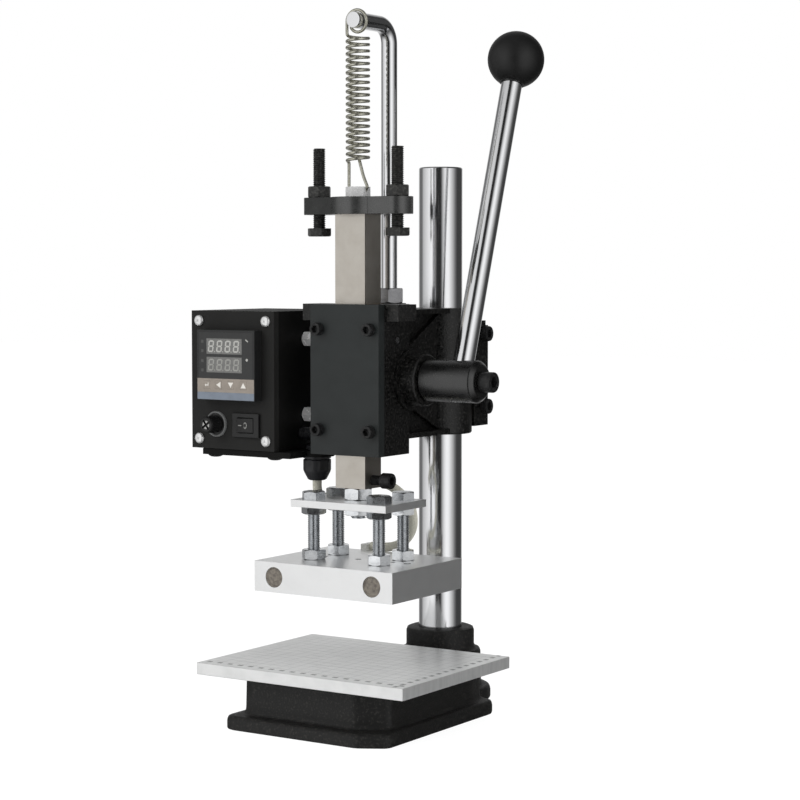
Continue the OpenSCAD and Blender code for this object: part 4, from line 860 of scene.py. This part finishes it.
def glands():
    """Cable gland with a fluted dome, the elbow sleeve into the box, and the mains gland."""
    low, high = box_mm("cable_gland")
    centre = (low + high) / 2
    r = (high.x - low.x) / 2
    angles = around(96, 0.5)

    def faceted(radius, z, share):
        """Ring between a circle and the hexagon that touches it."""
        return [polar(radius * (1 - share) + min(hex_radius(r * 1.94, a), radius) * share, a, z) for a in angles]

    bore = CABLE_D / 2 + 0.3
    under, over = (corner.z for corner in box_mm("bracket_plate"))
    at = upright(low, high)
    bm = bmesh.new()
    shape = [(bore, low.z + 3, 0), (bore + 0.6, low.z + 0.2, 0), (6.2, low.z, 0), (7.6, low.z + 0.8, 0),
             (r - 1.9, low.z + 4.4, 0.3), (r - 0.7, low.z + 6.8, 1), (r, low.z + 8.6, 1), (r, under - 3.2, 1),
             (r - 0.5, under - 2.6, 0), (r - 1.5, under - 2.4, 0), (r - 1.5, under - 1.8, 0), (r - 0.2, under - 1.6, 0),
             (r, under, 0), (bore, under, 0)]
    add_rings(bm, [faceted(*ring) for ring in shape], at, closed=True)
    add_hexagon(bm, BOLT_AF, over, high.z, at, bore=BOLT_R + 0.15)
    add_thread(bm, BOLT_R, BOLT_PITCH, under - 0.5, high.z, at, sides=24)
    stand_in("cable_gland", bm, NYLON)
    low, high = box_mm("gland_elbow")
    start = Vector((centre.x, centre.y, low.z))
    bend = 9
    path = [start + Vector((bend * (cos(a) - 1), 0, bend * sin(a))) for a in sweep(pi / 2, 24)]
    end = Vector((low.x, centre.y, path[-1].z))
    path += [path[-1].lerp(end, share) for share in sweep(1, 12)[1:]]
    stand_in("gland_elbow", add_tube(bmesh.new(), path, lambda i: 5.0 - (0.45 if i % 3 == 1 else 0.0), sides=32), NYLON)
    low, high = box_mm("mains_gland")
    centre = (low + high) / 2
    wall = box_mm("control_box")[1].y
    at = placed((centre.x, wall, centre.z), (0, 1, 0))
    bm = bmesh.new()
    add_hexagon(bm, 16, 0, 5.3, at, bore=6)
    length = high.y - wall
    profile = [(3.5, -2.5), (5.9, -2.5), (5.9, 5.3), (7.6, 5.3), (7.9, 6.2), (7.2, length - 3.2),
               (6.4, length - 0.8), (5.4, length), (4.1, length), (3.5, length - 0.8)]
    add_turned(bm, profile, at, closed=True)
    stand_in("mains_gland", bm, NYLON)


def heaters():
    """Cartridge ends in the block's front face, their leads, and the terminal block."""
    bm = bmesh.new()
    for low, high in islands("cartridge_heaters"):
        centre = (low + high) / 2
        r = (high.x - low.x) / 2
        length = high.y - low.y
        profile = soften([(4, 0), (r, 0), (r, length), (r - 1.0, length), (r - 1.3, length - 0.5),
                          (r - 4.4, length - 0.5), (r - 4.7, length - 0.15), (0.6, length - 0.15)], 0.3)
        add_turned(bm, profile, placed((centre.x, high.y, centre.z), (0, -1, 0)))
    stand_in("cartridge_heaters", bm, HEATER)
    low, high = box_mm("heater_leads")
    lead_r = 1.6
    bend = 3
    z = (low.z + high.z) / 2
    back = high.y - lead_r
    terminal_low, terminal_high = box_mm("terminal_block")
    bm = bmesh.new()
    for way, end_x, inner_x in ((1, high.x - lead_r, terminal_high.x), (-1, low.x + lead_r, terminal_low.x)):
        path = [Vector((end_x, low.y, z)), Vector((end_x, back - bend, z))]
        path += [Vector((end_x - way * (bend - bend * cos(a)), back - bend + bend * sin(a), z))
                 for a in (0.3, 0.6, 0.9, 1.2, pi / 2)]
        path.append(Vector((inner_x, back, z)))
        add_tube(bm, path, lambda i: lead_r, side=(0, 0, 1))
    stand_in("heater_leads", bm, SLEEVE)
    dress("terminal_block", 0.8, CERAMIC, 3)
    centre = (terminal_low + terminal_high) / 2
    bm = bmesh.new()
    at = placed((centre.x, centre.y, terminal_high.z - 1.0))
    add_turned(bm, soften([(1.9, -3), (1.9, 0.4), (1.3, 0.9), (0.5, 1.0)], 0.3), at, sides=32)
    piece("terminal_screw", bm, NICKEL, "ram")


def block_details():
    """Heated block, levelling plate, and the set screws over the cartridges."""
    dress("heat_block", 0.5, MILLED)
    dress("levelling_plate", 0.5, MILLED)
    top = box_mm("heat_block")[1].z
    cartridge_x = 46
    bm = bmesh.new()
    for x in (-cartridge_x, cartridge_x):
        add_turned(bm, soften([(3, -1.5), (3, 0.05), (2.2, 0.1), (1.6, 0.1), (1.6, -1.0)], 0.2), placed((x, 0, top)),
                   sides=40)
    piece("cartridge_set_screws", bm, OXIDE, "ram")


def spacers():
    """Hexagon spacers between box and head, with the studs that hold them."""
    bm = bmesh.new()
    wall_x = box_mm("control_box")[1].x
    gap = box_mm("cover_plate")[0].x - wall_x
    for low, high in islands("box_standoffs"):
        centre = (low + high) / 2
        at = placed((wall_x, centre.y, centre.z), (1, 0, 0))
        add_hexagon(bm, 11, 0, gap, at)
        add_thread(bm, SMALL_R, SMALL_PITCH, low.x - wall_x, -0.05, at, sides=16)
        add_turned(bm, [(SMALL_R, gap), (SMALL_R, high.x - wall_x)], at, sides=24)
    stand_in("box_standoffs", bm, DULL_NICKEL)


def lid_screws():
    """Pan heads with a cross recess on the front lid."""
    head_h = 2.6
    bm = bmesh.new()
    crosses = bmesh.new()
    for number, (low, high) in enumerate(islands("lid_screws")):
        centre = (low + high) / 2
        r = (high.x - low.x) / 2
        at = placed((centre.x, low.y + head_h, centre.z), (0, -1, 0), spin=20 + 35 * number)
        profile = soften([(r * 0.6, 0), (r, 0), (r, 0.9), (r * 0.88, 1.9), (r * 0.5, head_h - 0.08),
                          (0.3, head_h)], 0.7)
        add_turned(bm, profile, at, sides=48)
        add_thread(bm, SMALL_R, SMALL_PITCH, -(high.y - low.y - head_h), -0.02, at, sides=16)
        plus = plus_outline(0.28, 1.5)
        add_rings(crosses, [[(x * share, y * share, z) for x, y in plus]
                            for share, z in ((0.5, head_h - 0.7), (1.0, head_h + 0.4))], at)
    stand_in("lid_screws", bm, NICKEL, [crosses])


def seven_segments(x, z):
    """Outlines of the seven bars of a digit whose lower left corner is at x, z."""
    w, h, t = DIGIT_W, DIGIT_H, 1.3
    lean = 0.12
    gap = 0.12
    half = h / 2

    def bar_across(cz):
        return [(x + gap + t / 2, cz), (x + gap + t, cz + t / 2), (x + w - gap - t, cz + t / 2),
                (x + w - gap - t / 2, cz), (x + w - gap - t, cz - t / 2), (x + gap + t, cz - t / 2)]

    def bar_up(cx, z0):
        low, high = z0 + gap + (t / 4 if z0 > z else t / 2), z0 + half - gap - (t / 2 if z0 > z else t / 4)
        return [(cx, low - t / 4), (cx + t / 2, low + t / 4), (cx + t / 2, high - t / 4), (cx, high + t / 4),
                (cx - t / 2, high - t / 4), (cx - t / 2, low + t / 4)]

    bars = [bar_across(z + t / 2), bar_across(z + half), bar_across(z + h - t / 2)]
    bars += [bar_up(cx, z0) for cx in (x + t / 2, x + w - t / 2) for z0 in (z, z + half)]
    return [[(u + (v - z - half) * lean, v) for u, v in bar] for bar in bars]


def controller():
    """Controller face: screen with two unlit displays, key strip and blue strip."""
    dress("controller_bezel", 0.5, BEZEL, 3)
    dress("controller_body", 0.8, BEZEL)
    low, high = box_mm("controller_bezel")
    front = low.y
    rim = 2.2
    field_left, field_right, field_h = low.x + 9.9, low.x + 45.3, 12.4
    lamp_x, lamp_half = low.x + 5.6, 1.2
    mark_x = high.x - 7.5
    mark_stations = (front - 0.08, front + 0.2)

    def add_plate(bm, x0, x1, z0, z1, proud, deep, round_off=0.02, steps=1):
        add_block(bm, (x0, front - proud, z0), (x1, front + deep, z1), round_off, steps)

    def add_disc(bm, x, z, r, sides, stations):
        add_prism(bm, [(x + r * cos(a), z + r * sin(a)) for a in around(sides)], stations)

    def face_piece(name, bm, material, cuts=()):
        piece(name, bm, material, "head", cuts=cuts)

    bm = bmesh.new()
    add_plate(bm, low.x + rim, high.x - rim, low.z + STRIP_UP, high.z - rim, 0.03, 0.6, steps=2)
    face_piece("screen", bm, SCREEN)
    fields = bmesh.new()
    for name, bottom, lit in (("upper", high.z - 19.4, SEGMENT), ("lower", high.z - 34.2, SEGMENT_DIM)):
        add_plate(fields, field_left, field_right, bottom, bottom + field_h, 0.06, 0.4)
        segments = bmesh.new()
        for n in range(4):
            x = low.x + 11.7 + DIGIT_PITCH * n
            for bar in seven_segments(x, bottom + 1.4):
                add_prism(segments, bar, (front - 0.12, front + 0.1))
            add_disc(segments, x + DIGIT_W + 0.7, bottom + 1.9, 0.5, 12, (front - 0.1, front + 0.1))
        face_piece("display_digits_" + name, segments, lit)
    face_piece("display_fields", fields, FIELD)
    bm = bmesh.new()
    for z in (high.z - 9.5, high.z - 17, high.z - 25, high.z - 32.5):
        add_plate(bm, lamp_x - lamp_half, lamp_x + lamp_half, z - lamp_half, z + lamp_half, 0.05, 0.2)
    face_piece("indicator_lamps", bm, LAMP)
    bm = bmesh.new()
    add_prism(bm, [(mark_x - 1.5, high.z - 7.8), (mark_x + 0.9, high.z - 9.6), (mark_x + 1.5, high.z - 8.8),
                   (mark_x - 0.9, high.z - 7.0)], mark_stations)
    add_disc(bm, mark_x, high.z - 23.6, 1.1, 20, mark_stations)
    face_piece("unit_marks", bm, SEGMENT)
    holes = bmesh.new()
    grow = Vector((0.08, 0, 0.08))
    for key in KEY_ICONS:
        key_low, key_high = box_mm(key)
        key_low.y, key_high.y = front - 1, front + 1
        add_block(holes, key_low - grow, key_high + grow)
    strips = (("key_strip", STRIP_MID, STRIP_UP, BEIGE, "key_beige", [holes]),
              ("blue_strip", 0.5, STRIP_MID, BLUE, "controller_black", ()))
    for name, bottom, top, material, slot, cuts in strips:
        bm = bmesh.new()
        add_plate(bm, low.x + 0.5, high.x - 0.5, low.z + bottom, low.z + top, 0.12, 0.2, 0.05)
        face_piece(name, bm, material, cuts)


def keys():
    """Key caps with a crowned face and a raised arrow each."""
    for node, icon in KEY_ICONS.items():
        low, high = box_mm(node)
        centre = (low + high) / 2
        face = low.y + KEY_SUNK
        bm = bmesh.new()
        crown = ((0, 0.3, high.y), (0, 0.3, face + 0.08), (0.03, 0.3, face + 0.04), (0.12, 0.35, face + 0.01),
                 (0.5, 0.5, face))
        add_rings(bm, [[(x, y, z) for x, z in rounded_plan(low.x + inset, high.x - inset, low.z + inset,
                                                           high.z - inset, r, 5)] for inset, r, y in crown])
        stand_in(node, bm, BEIGE)
        bm = bmesh.new()
        add_prism(bm, [(centre.x + x, centre.z + z) for x, z in icon], (face - 0.08, face + 0.3))
        piece(node + "_icon", bm, ICON, BODY_OF[node])


def fuse():
    """Fuse holder with its flange, rim and knurled cap."""
    low, high = box_mm("fuse_holder")
    centre = (low + high) / 2
    lid = box_mm("front_lid")[0].y
    at = placed((centre.x, lid, centre.z), (0, -1, 0))
    back = lid - high.y
    rim = lid - low.y
    profile = soften([(3.1, back + 1), (6.0, back), (6.0, -1.6), (6.0, 0), (8.4, 0), (8.4, 0.6), (6.8, 0.7),
                      (6.8, rim), (3.1, rim), (3.1, rim - 16)], 0.4)
    stand_in("fuse_holder", add_turned(bmesh.new(), profile, at), FITTING)
    outer = (high.x - low.x) / 2
    bm = bmesh.new()
    add_turned(bm, [(8.2, 0), (outer, 0), (outer, 0.8), (outer - 0.5, 1.7), (outer - 1.2, 2.0), (outer - 1.8, 1.6),
                    (8.4, 0.5)], at, sides=96, closed=True)
    # The rim is a lighter grey than the black holder: a painted highlight.
    piece("fuse_rim", bm, RIM_HIGHLIGHT_GREY, "head")
    length = lid - box_mm("fuse_cap")[0].y
    start = rim + 0.3

    def knurled(radius, z, depth):
        return [polar(radius - depth * (i % 4 < 2), a, z) for i, a in enumerate(around(96))]

    shape = [(3.0, rim - 15.8, 0), (3.0, start, 0), (6.9, start, 0), (7.2, start + 0.4, 0.3),
             (6.6, length - 1.6, 0.3), (6.3, length - 1.2, 0), (6.1, length - 0.5, 0), (5.4, length, 0)]
    bm = bmesh.new()
    add_rings(bm, [knurled(*ring) for ring in shape], at)
    slot = bmesh.new()
    spun = at @ Matrix.Rotation(radians(35), 4, "Z")
    add_rings(slot, [[(x, y, z) for x, y in plus_outline(0.65, 4.6)] for z in (length - 1.5, length + 1)], spun)
    stand_in("fuse_cap", bm, FITTING, [slot])
    # Light grey patches between the arms of the slot on the cap's end: painted glints.
    patch = [(1.0, 1.0), (3.2, 1.0), (2.7, 2.0), (1.9, 2.8), (1.0, 3.2)]
    bm = bmesh.new()
    for turn in (0, 90, 180, 270):
        corner = spun @ Matrix.Rotation(radians(turn), 4, "Z")
        add_rings(bm, [[(x, y, z) for x, y in patch] for z in (length - 0.2, length + 0.04)], corner)
    piece("fuse_cap_painted_glints", bm, CAP_GLINT_COLOUR, "fuse_cap")


def power_switch():
    """Rocker switch with a bar and a ring for on and off."""
    dress("switch_body", 0.5, FITTING, 3)
    dress("rocker", 0.35, FITTING, 3)
    low, high = box_mm("rocker")
    frame_front = box_mm("switch_body")[0].y
    pivot = Vector(((low.x + high.x) / 2, frame_front + 0.8, (low.z + high.z) / 2))
    tilt = Matrix.Translation(pivot) @ Matrix.Rotation(radians(10), 4, "Z")
    slope = atan2(1.2, 8.8)
    left, right = (tilt @ Matrix.Translation((3.15 * way, -1.72, 0)) @ Matrix.Rotation(-slope * way, 4, "Z")
                   for way in (-1, 1))
    proud, deep = -0.1, 0.25
    bm = bmesh.new()
    add_prism(bm, [(-2.6, -0.4), (0.2, -0.4), (0.2, 0.4), (-2.6, 0.4)], (proud, deep), left)
    rings = [[(r * cos(a) - 3.1, y, r * 1.5 * sin(a)) for a in around(32)]
             for r, y in ((1.7, proud), (1.7, deep), (1.1, deep), (1.1, proud))]
    add_rings(bm, rings, right, closed=True)
    piece("rocker_marks", bm, MARK, "rocker")


# Stage


def make_light(name, place, target, size, watts):
    data = bpy.data.lights.new(name, "AREA")
    data.shape = "RECTANGLE"
    data.size, data.size_y = size
    data.energy = watts
    light = bpy.data.objects.new(name, data)
    light.location = place
    light.rotation_euler = (Vector(target) - Vector(place)).to_track_quat("-Z", "Y").to_euler()
    light.visible_glossy = False
    bpy.context.scene.collection.objects.link(light)


def studio():
    """White floor that only the camera and matt surfaces see, the world, and soft lamps that metal doesn't see."""
    bm = bmesh.new()
    bmesh.ops.create_grid(bm, x_segments=4, y_segments=4, size=FLOOR_HALF_M)
    floor = new_object("floor", bm)
    s = Surface("floor", (0.9, 0.9, 0.9), 0.9, specular=0.0)
    path = s.add("LightPath").outputs
    glow = s.add("Emission", {"Color": (1, 1, 1, 1), "Strength": FLOOR_GLOW})
    lit = s.add("MixShader", {0: s.math("MULTIPLY", path["Is Camera Ray"], GLOW_SHARE), 1: s.shader.outputs[0],
                              2: glow.outputs[0]})
    unseen = s.add("MixShader", {0: path["Is Glossy Ray"], 1: lit.outputs[0], 2: s.add("BsdfTransparent").outputs[0]})
    s.feed(unseen.outputs[0], s.tree.nodes["Material Output"].inputs[0])
    set_material(floor, s.material)
    surroundings()
    make_light("key", (-1.0, -1.5, 1.5), (0, 0, 0.28), (1.2, 1.2), 26)
    make_light("side", (1.9, -0.7, 0.9), (0, 0, 0.25), (0.8, 1.4), 9)
    make_light("top", (0.1, 0.2, 2.0), (0, 0, 0.2), (1.4, 1.4), 16)


def surroundings():
    """World: white to the camera, plain grey to matt surfaces, bands of light and shade to glossy ones."""
    world = bpy.data.worlds.new("studio")
    bpy.context.scene.world = world
    world.use_nodes = True
    w = Nodes(world.node_tree)
    # Turned so that the photograph's camera lies at the middle of the ramp, with the right-hand side above it
    turn = w.add("VectorRotate", {"Angle": pi / 2 - radians(CAMERA_TURN),
                                  "Vector": w.add("TexCoord").outputs["Generated"]}, rotation_type="Z_AXIS")
    x, y, z = w.add("SeparateXYZ", {0: turn.outputs[0]}).outputs
    ramp = w.add("ValToRGB", {0: w.spread(w.math("ARCTAN2", y, x), -pi, pi)})
    elements = ramp.color_ramp.elements
    for n, (degrees, level) in enumerate(WORLD_BANDS):
        position = (degrees + 180) / 360
        element = elements[n] if n < 2 else elements.new(position)
        element.position = position
        element.color = (level, level, level, 1)
    window = w.spread(w.math("ABSOLUTE", z), FADE_START, FADE_END, 1.0, FADE_LEFT)
    banded = w.add("VectorMath", {0: ramp.outputs[0], "Scale": window}, operation="SCALE").outputs[0]
    path = w.add("LightPath").outputs
    lit = w.mix(path["Is Glossy Ray"], (MATT_GREY, MATT_GREY, MATT_GREY, 1), banded)
    seen = w.math("MAXIMUM", path["Is Camera Ray"], path["Is Transmission Ray"])
    w.feed(w.mix(seen, lit, (1, 1, 1, 1)), w.tree.nodes["Background"].inputs["Color"])


# Pale specks of both cast paints are partly grain tone and partly painted glints; the head's stand out most against its
# darker base.
CAST = cast_paint("cast_paint", (0.008, 0.008, 0.0077), (0.038, 0.036, 0.033), 0.35, 0.4, 0.68)
HEAD_CAST = cast_paint("head_cast_paint", (0.0018, 0.0018, 0.0016), (0.03, 0.029, 0.027), 0.45, 0.22, 0.6)
FLANGE = flange_paint()
# Even satin paint on a milled plate
COVER = surface("cover_paint", (0.0145, 0.0172, 0.0172), 0.46, ((25, 3), 0.35, 0.7, (0.0128, 0.015, 0.015)),
                ((90, 3), 0.36, 0.5), [((1400, 2), 0.02, 0.5)], specular=0.34)
PANEL = panel_paint("panel_paint", (0.0058, 0.0058, 0.0056), (0.0088, 0.0086, 0.0082), 0.08)
LID = panel_paint("lid_paint", (0.0145, 0.0145, 0.014), (0.021, 0.0208, 0.02), 0.12)
# Satin black enamel over a turned hub
HUB = surface("hub_paint", (0.0035, 0.0035, 0.0035), 0.28, None, ((120, 3), 0.22, 0.32), [((400, 2), 0.02, 0.5)],
              specular=1.0)
OXIDE = black_oxide("black_oxide", (0.012, 0.012, 0.0125), (0.034, 0.034, 0.034))
# Lighter copy of the black oxide for the stop bolts and nuts: its raised base and patches are a painted sheen over the
# wear.
STOP_OXIDE = black_oxide("oxide_wear_and_painted_sheen", (0.024, 0.024, 0.023), (0.075, 0.075, 0.07))
# Hard chrome with faint lengthwise polish
CHROME = surface("chrome", (0.88, 0.885, 0.9), 0.07, ((30, 3, 0.55, LENGTHWISE), 0.5, 0.8, (0.78, 0.785, 0.8)),
                 ((700, 3, 0.55, (1, 1, 0.03)), 0.1, 0.18, 0.35, 0.75), [((1800, 2, 0.55, (1, 1, 0.02)), 0.004, 0.3)],
                 metal=1.0)
# Ground flats of the ram: dull warm grey with cross grinding
GRINDING = (220, 4, 0.7, (0.15, 0.15, 14))
GROUND = surface("ground_steel", (0.62, 0.585, 0.53), 0.36, ((60, 4), 0.4, 0.75, (0.54, 0.50, 0.445)),
                 (GRINDING, 0.3, 0.44), [(GRINDING, 0.012, 0.5)], metal=1.0)
# Turned and milled steel of the hidden drive
MACHINED = surface("machined_steel", (0.36, 0.36, 0.37), 0.32, ((80, 3), 0.4, 0.75, (0.26, 0.26, 0.27)),
                   ((900, 3, 0.55, (0.1, 1, 1)), 0.25, 0.42), [((1500, 2, 0.55, (0.2, 1, 1)), 0.01, 0.4)], metal=1.0)
ZINC = zinc("zinc", 0.88, 0.13, 0.26)
DULL_ZINC = zinc("dull_zinc", 0.66, 0.22, 0.36)
NICKEL = nickel("nickel", 0.85)
DULL_NICKEL = nickel("dull_nickel", 0.35)
# Milled aluminium of the heated block: fine crossing cutter marks
CUTTER_MARKS = (300, 2, 0.5, (10, 0.35, 1))
MILLED = surface("milled_aluminium", (0.92, 0.925, 0.925), 0.3, ((45, 4), 0.42, 0.8, (0.87, 0.875, 0.875)),
                 (CUTTER_MARKS, 0.28, 0.36), [(CUTTER_MARKS, 0.005, 0.12)], metal=0.9)
TABLE = ruled_table()
# Heat-tinted steel of the cartridge ends
STAIN = (420, 4)
HEATER = surface("heater_face", (0.25, 0.225, 0.19), 0.5, (STAIN, 0.4, 0.7, (0.15, 0.135, 0.12)),
                 (STAIN, 0.42, 0.65), [(STAIN, 0.06, 0.6)], metal=0.5)
# Bright drawn wire with an oily warm cast
WIRE = surface("spring_wire", (0.58, 0.57, 0.49), 0.3, ((350, 3), 0.45, 0.72, (0.42, 0.41, 0.34)),
               ((800, 3), 0.18, 0.36), metal=0.9)
SLEEVE = braided_sleeve()
# Glazed ceramic, polished phenolic, moulded nylon and turned bearing bronze
CERAMIC = surface("ceramic", (0.56, 0.56, 0.53), 0.3, ((200, 3), 0.5, 0.8, (0.46, 0.45, 0.42)), None,
                  [((700, 2), 0.03, 0.5)], coat=0.3)
BALL = surface("polished_ball", (0.004, 0.004, 0.004), 0.46, None, ((90, 3), 0.42, 0.52), [((240, 2), 0.03, 0.3)],
               specular=0.55)
NYLON = surface("nylon", (0.012, 0.0125, 0.015), 0.4, None, ((200, 2), 0.34, 0.5), [((1500, 2), 0.03, 0.4)])
BRONZE = surface("bronze", (0.5, 0.34, 0.14), 0.3, ((200, 3), 0.4, 0.75, (0.38, 0.25, 0.1)),
                 ((900, 2, 0.55, (0.1, 1, 1)), 0.24, 0.42), metal=1.0)
BEZEL = moulded("bezel_plastic", (0.011, 0.0115, 0.0115), 0.42)
SCREEN = moulded("screen", (0.018, 0.0185, 0.0185), 0.36)
LAMP = moulded("lamp", (0.055, 0.055, 0.053), 0.4)
FIELD = moulded("display_field", (0.13, 0.13, 0.125), 0.3)
SEGMENT = moulded("display_segment", (0.36, 0.36, 0.34), 0.35)
SEGMENT_DIM = moulded("display_segment_dim", (0.24, 0.24, 0.225), 0.35)
# Lighter grey on the black fuse rim: a painted highlight.
RIM_HIGHLIGHT_GREY = moulded("fitting_rim_painted_highlight", (0.12, 0.122, 0.122), 0.35)
BEIGE = moulded("key_strip", (0.235, 0.205, 0.175), 0.42)
ICON = moulded("key_icon", (0.62, 0.60, 0.56), 0.4)
BLUE = moulded("blue_strip", (0.15, 0.176, 0.215), 0.4)
FITTING = moulded("fitting_plastic", (0.0045, 0.0045, 0.0045), 0.4)
MARK = moulded("fitting_mark", (0.2, 0.2, 0.19), 0.45)
# Light grey of the patches on the fuse cap's end: painted glints.
CAP_GLINT_COLOUR = moulded("painted_glint_grey", (0.3, 0.3, 0.29), 0.4)

make_camera()
heater_cable()
base()
column()
for node, round_off, material, steps in (
        ("work_table", 0.5, TABLE, 2), ("head_casting", 1.2, HEAD_CAST, 3), ("cover_plate", 0.7, COVER, 3),
        ("stop_flange", 1.2, FLANGE, 3), ("ram", 0.4, GROUND, 2), ("control_box", 0.5, PANEL, 2),
        ("front_lid", 0.6, LID, 3), ("bracket_plate", 0.4, PANEL, 2), ("spring_seat", 0.5, DULL_NICKEL, 2)):
    dress(node, round_off, material, steps)
forward, rightward, downward = (0, -1, 0), (1, 0, 0), (0, 0, -1)
screws("cover_screws", forward, OXIDE, head_h=6.0, thread_d=6.0, grip=0.18)
screws("clamp_bolts", rightward, OXIDE, head_h=6.0, thread_d=8.0, grip=0.18, pitch=1.25)
screws("hub_screw", rightward, OXIDE, head_h=11.0, thread_d=8.0, pitch=1.25)
screws("clamp_screw", rightward, OXIDE, head_h=9.0, thread_d=8.0, grip=0.22, pitch=1.25)
screws("table_screws", downward, NICKEL, head_h=6.0, thread_d=6.0)
screws("bracket_screws", downward, OXIDE, head_h=2.5, thread_d=4.0, pitch=0.7, dome=True)
levelling()
stops()
spring_rod()
return_spring()
lever()
glands()
heaters()
block_details()
spacers()
lid_screws()
controller()
keys()
fuse()
power_switch()
for material, hidden in ((MACHINED, ("pinion_gear", "pinion_shaft", "shaft_keys", "gib_screw", "flange_stud")),
                         (OXIDE, ("retaining_ring", "column_set_screw")), (BRONZE, ("pinion_bushes", "gib_strip"))):
    for node in hidden:
        set_material(nodes[node], material)
studio()
bpy.context.scene.view_settings.view_transform = "Standard"
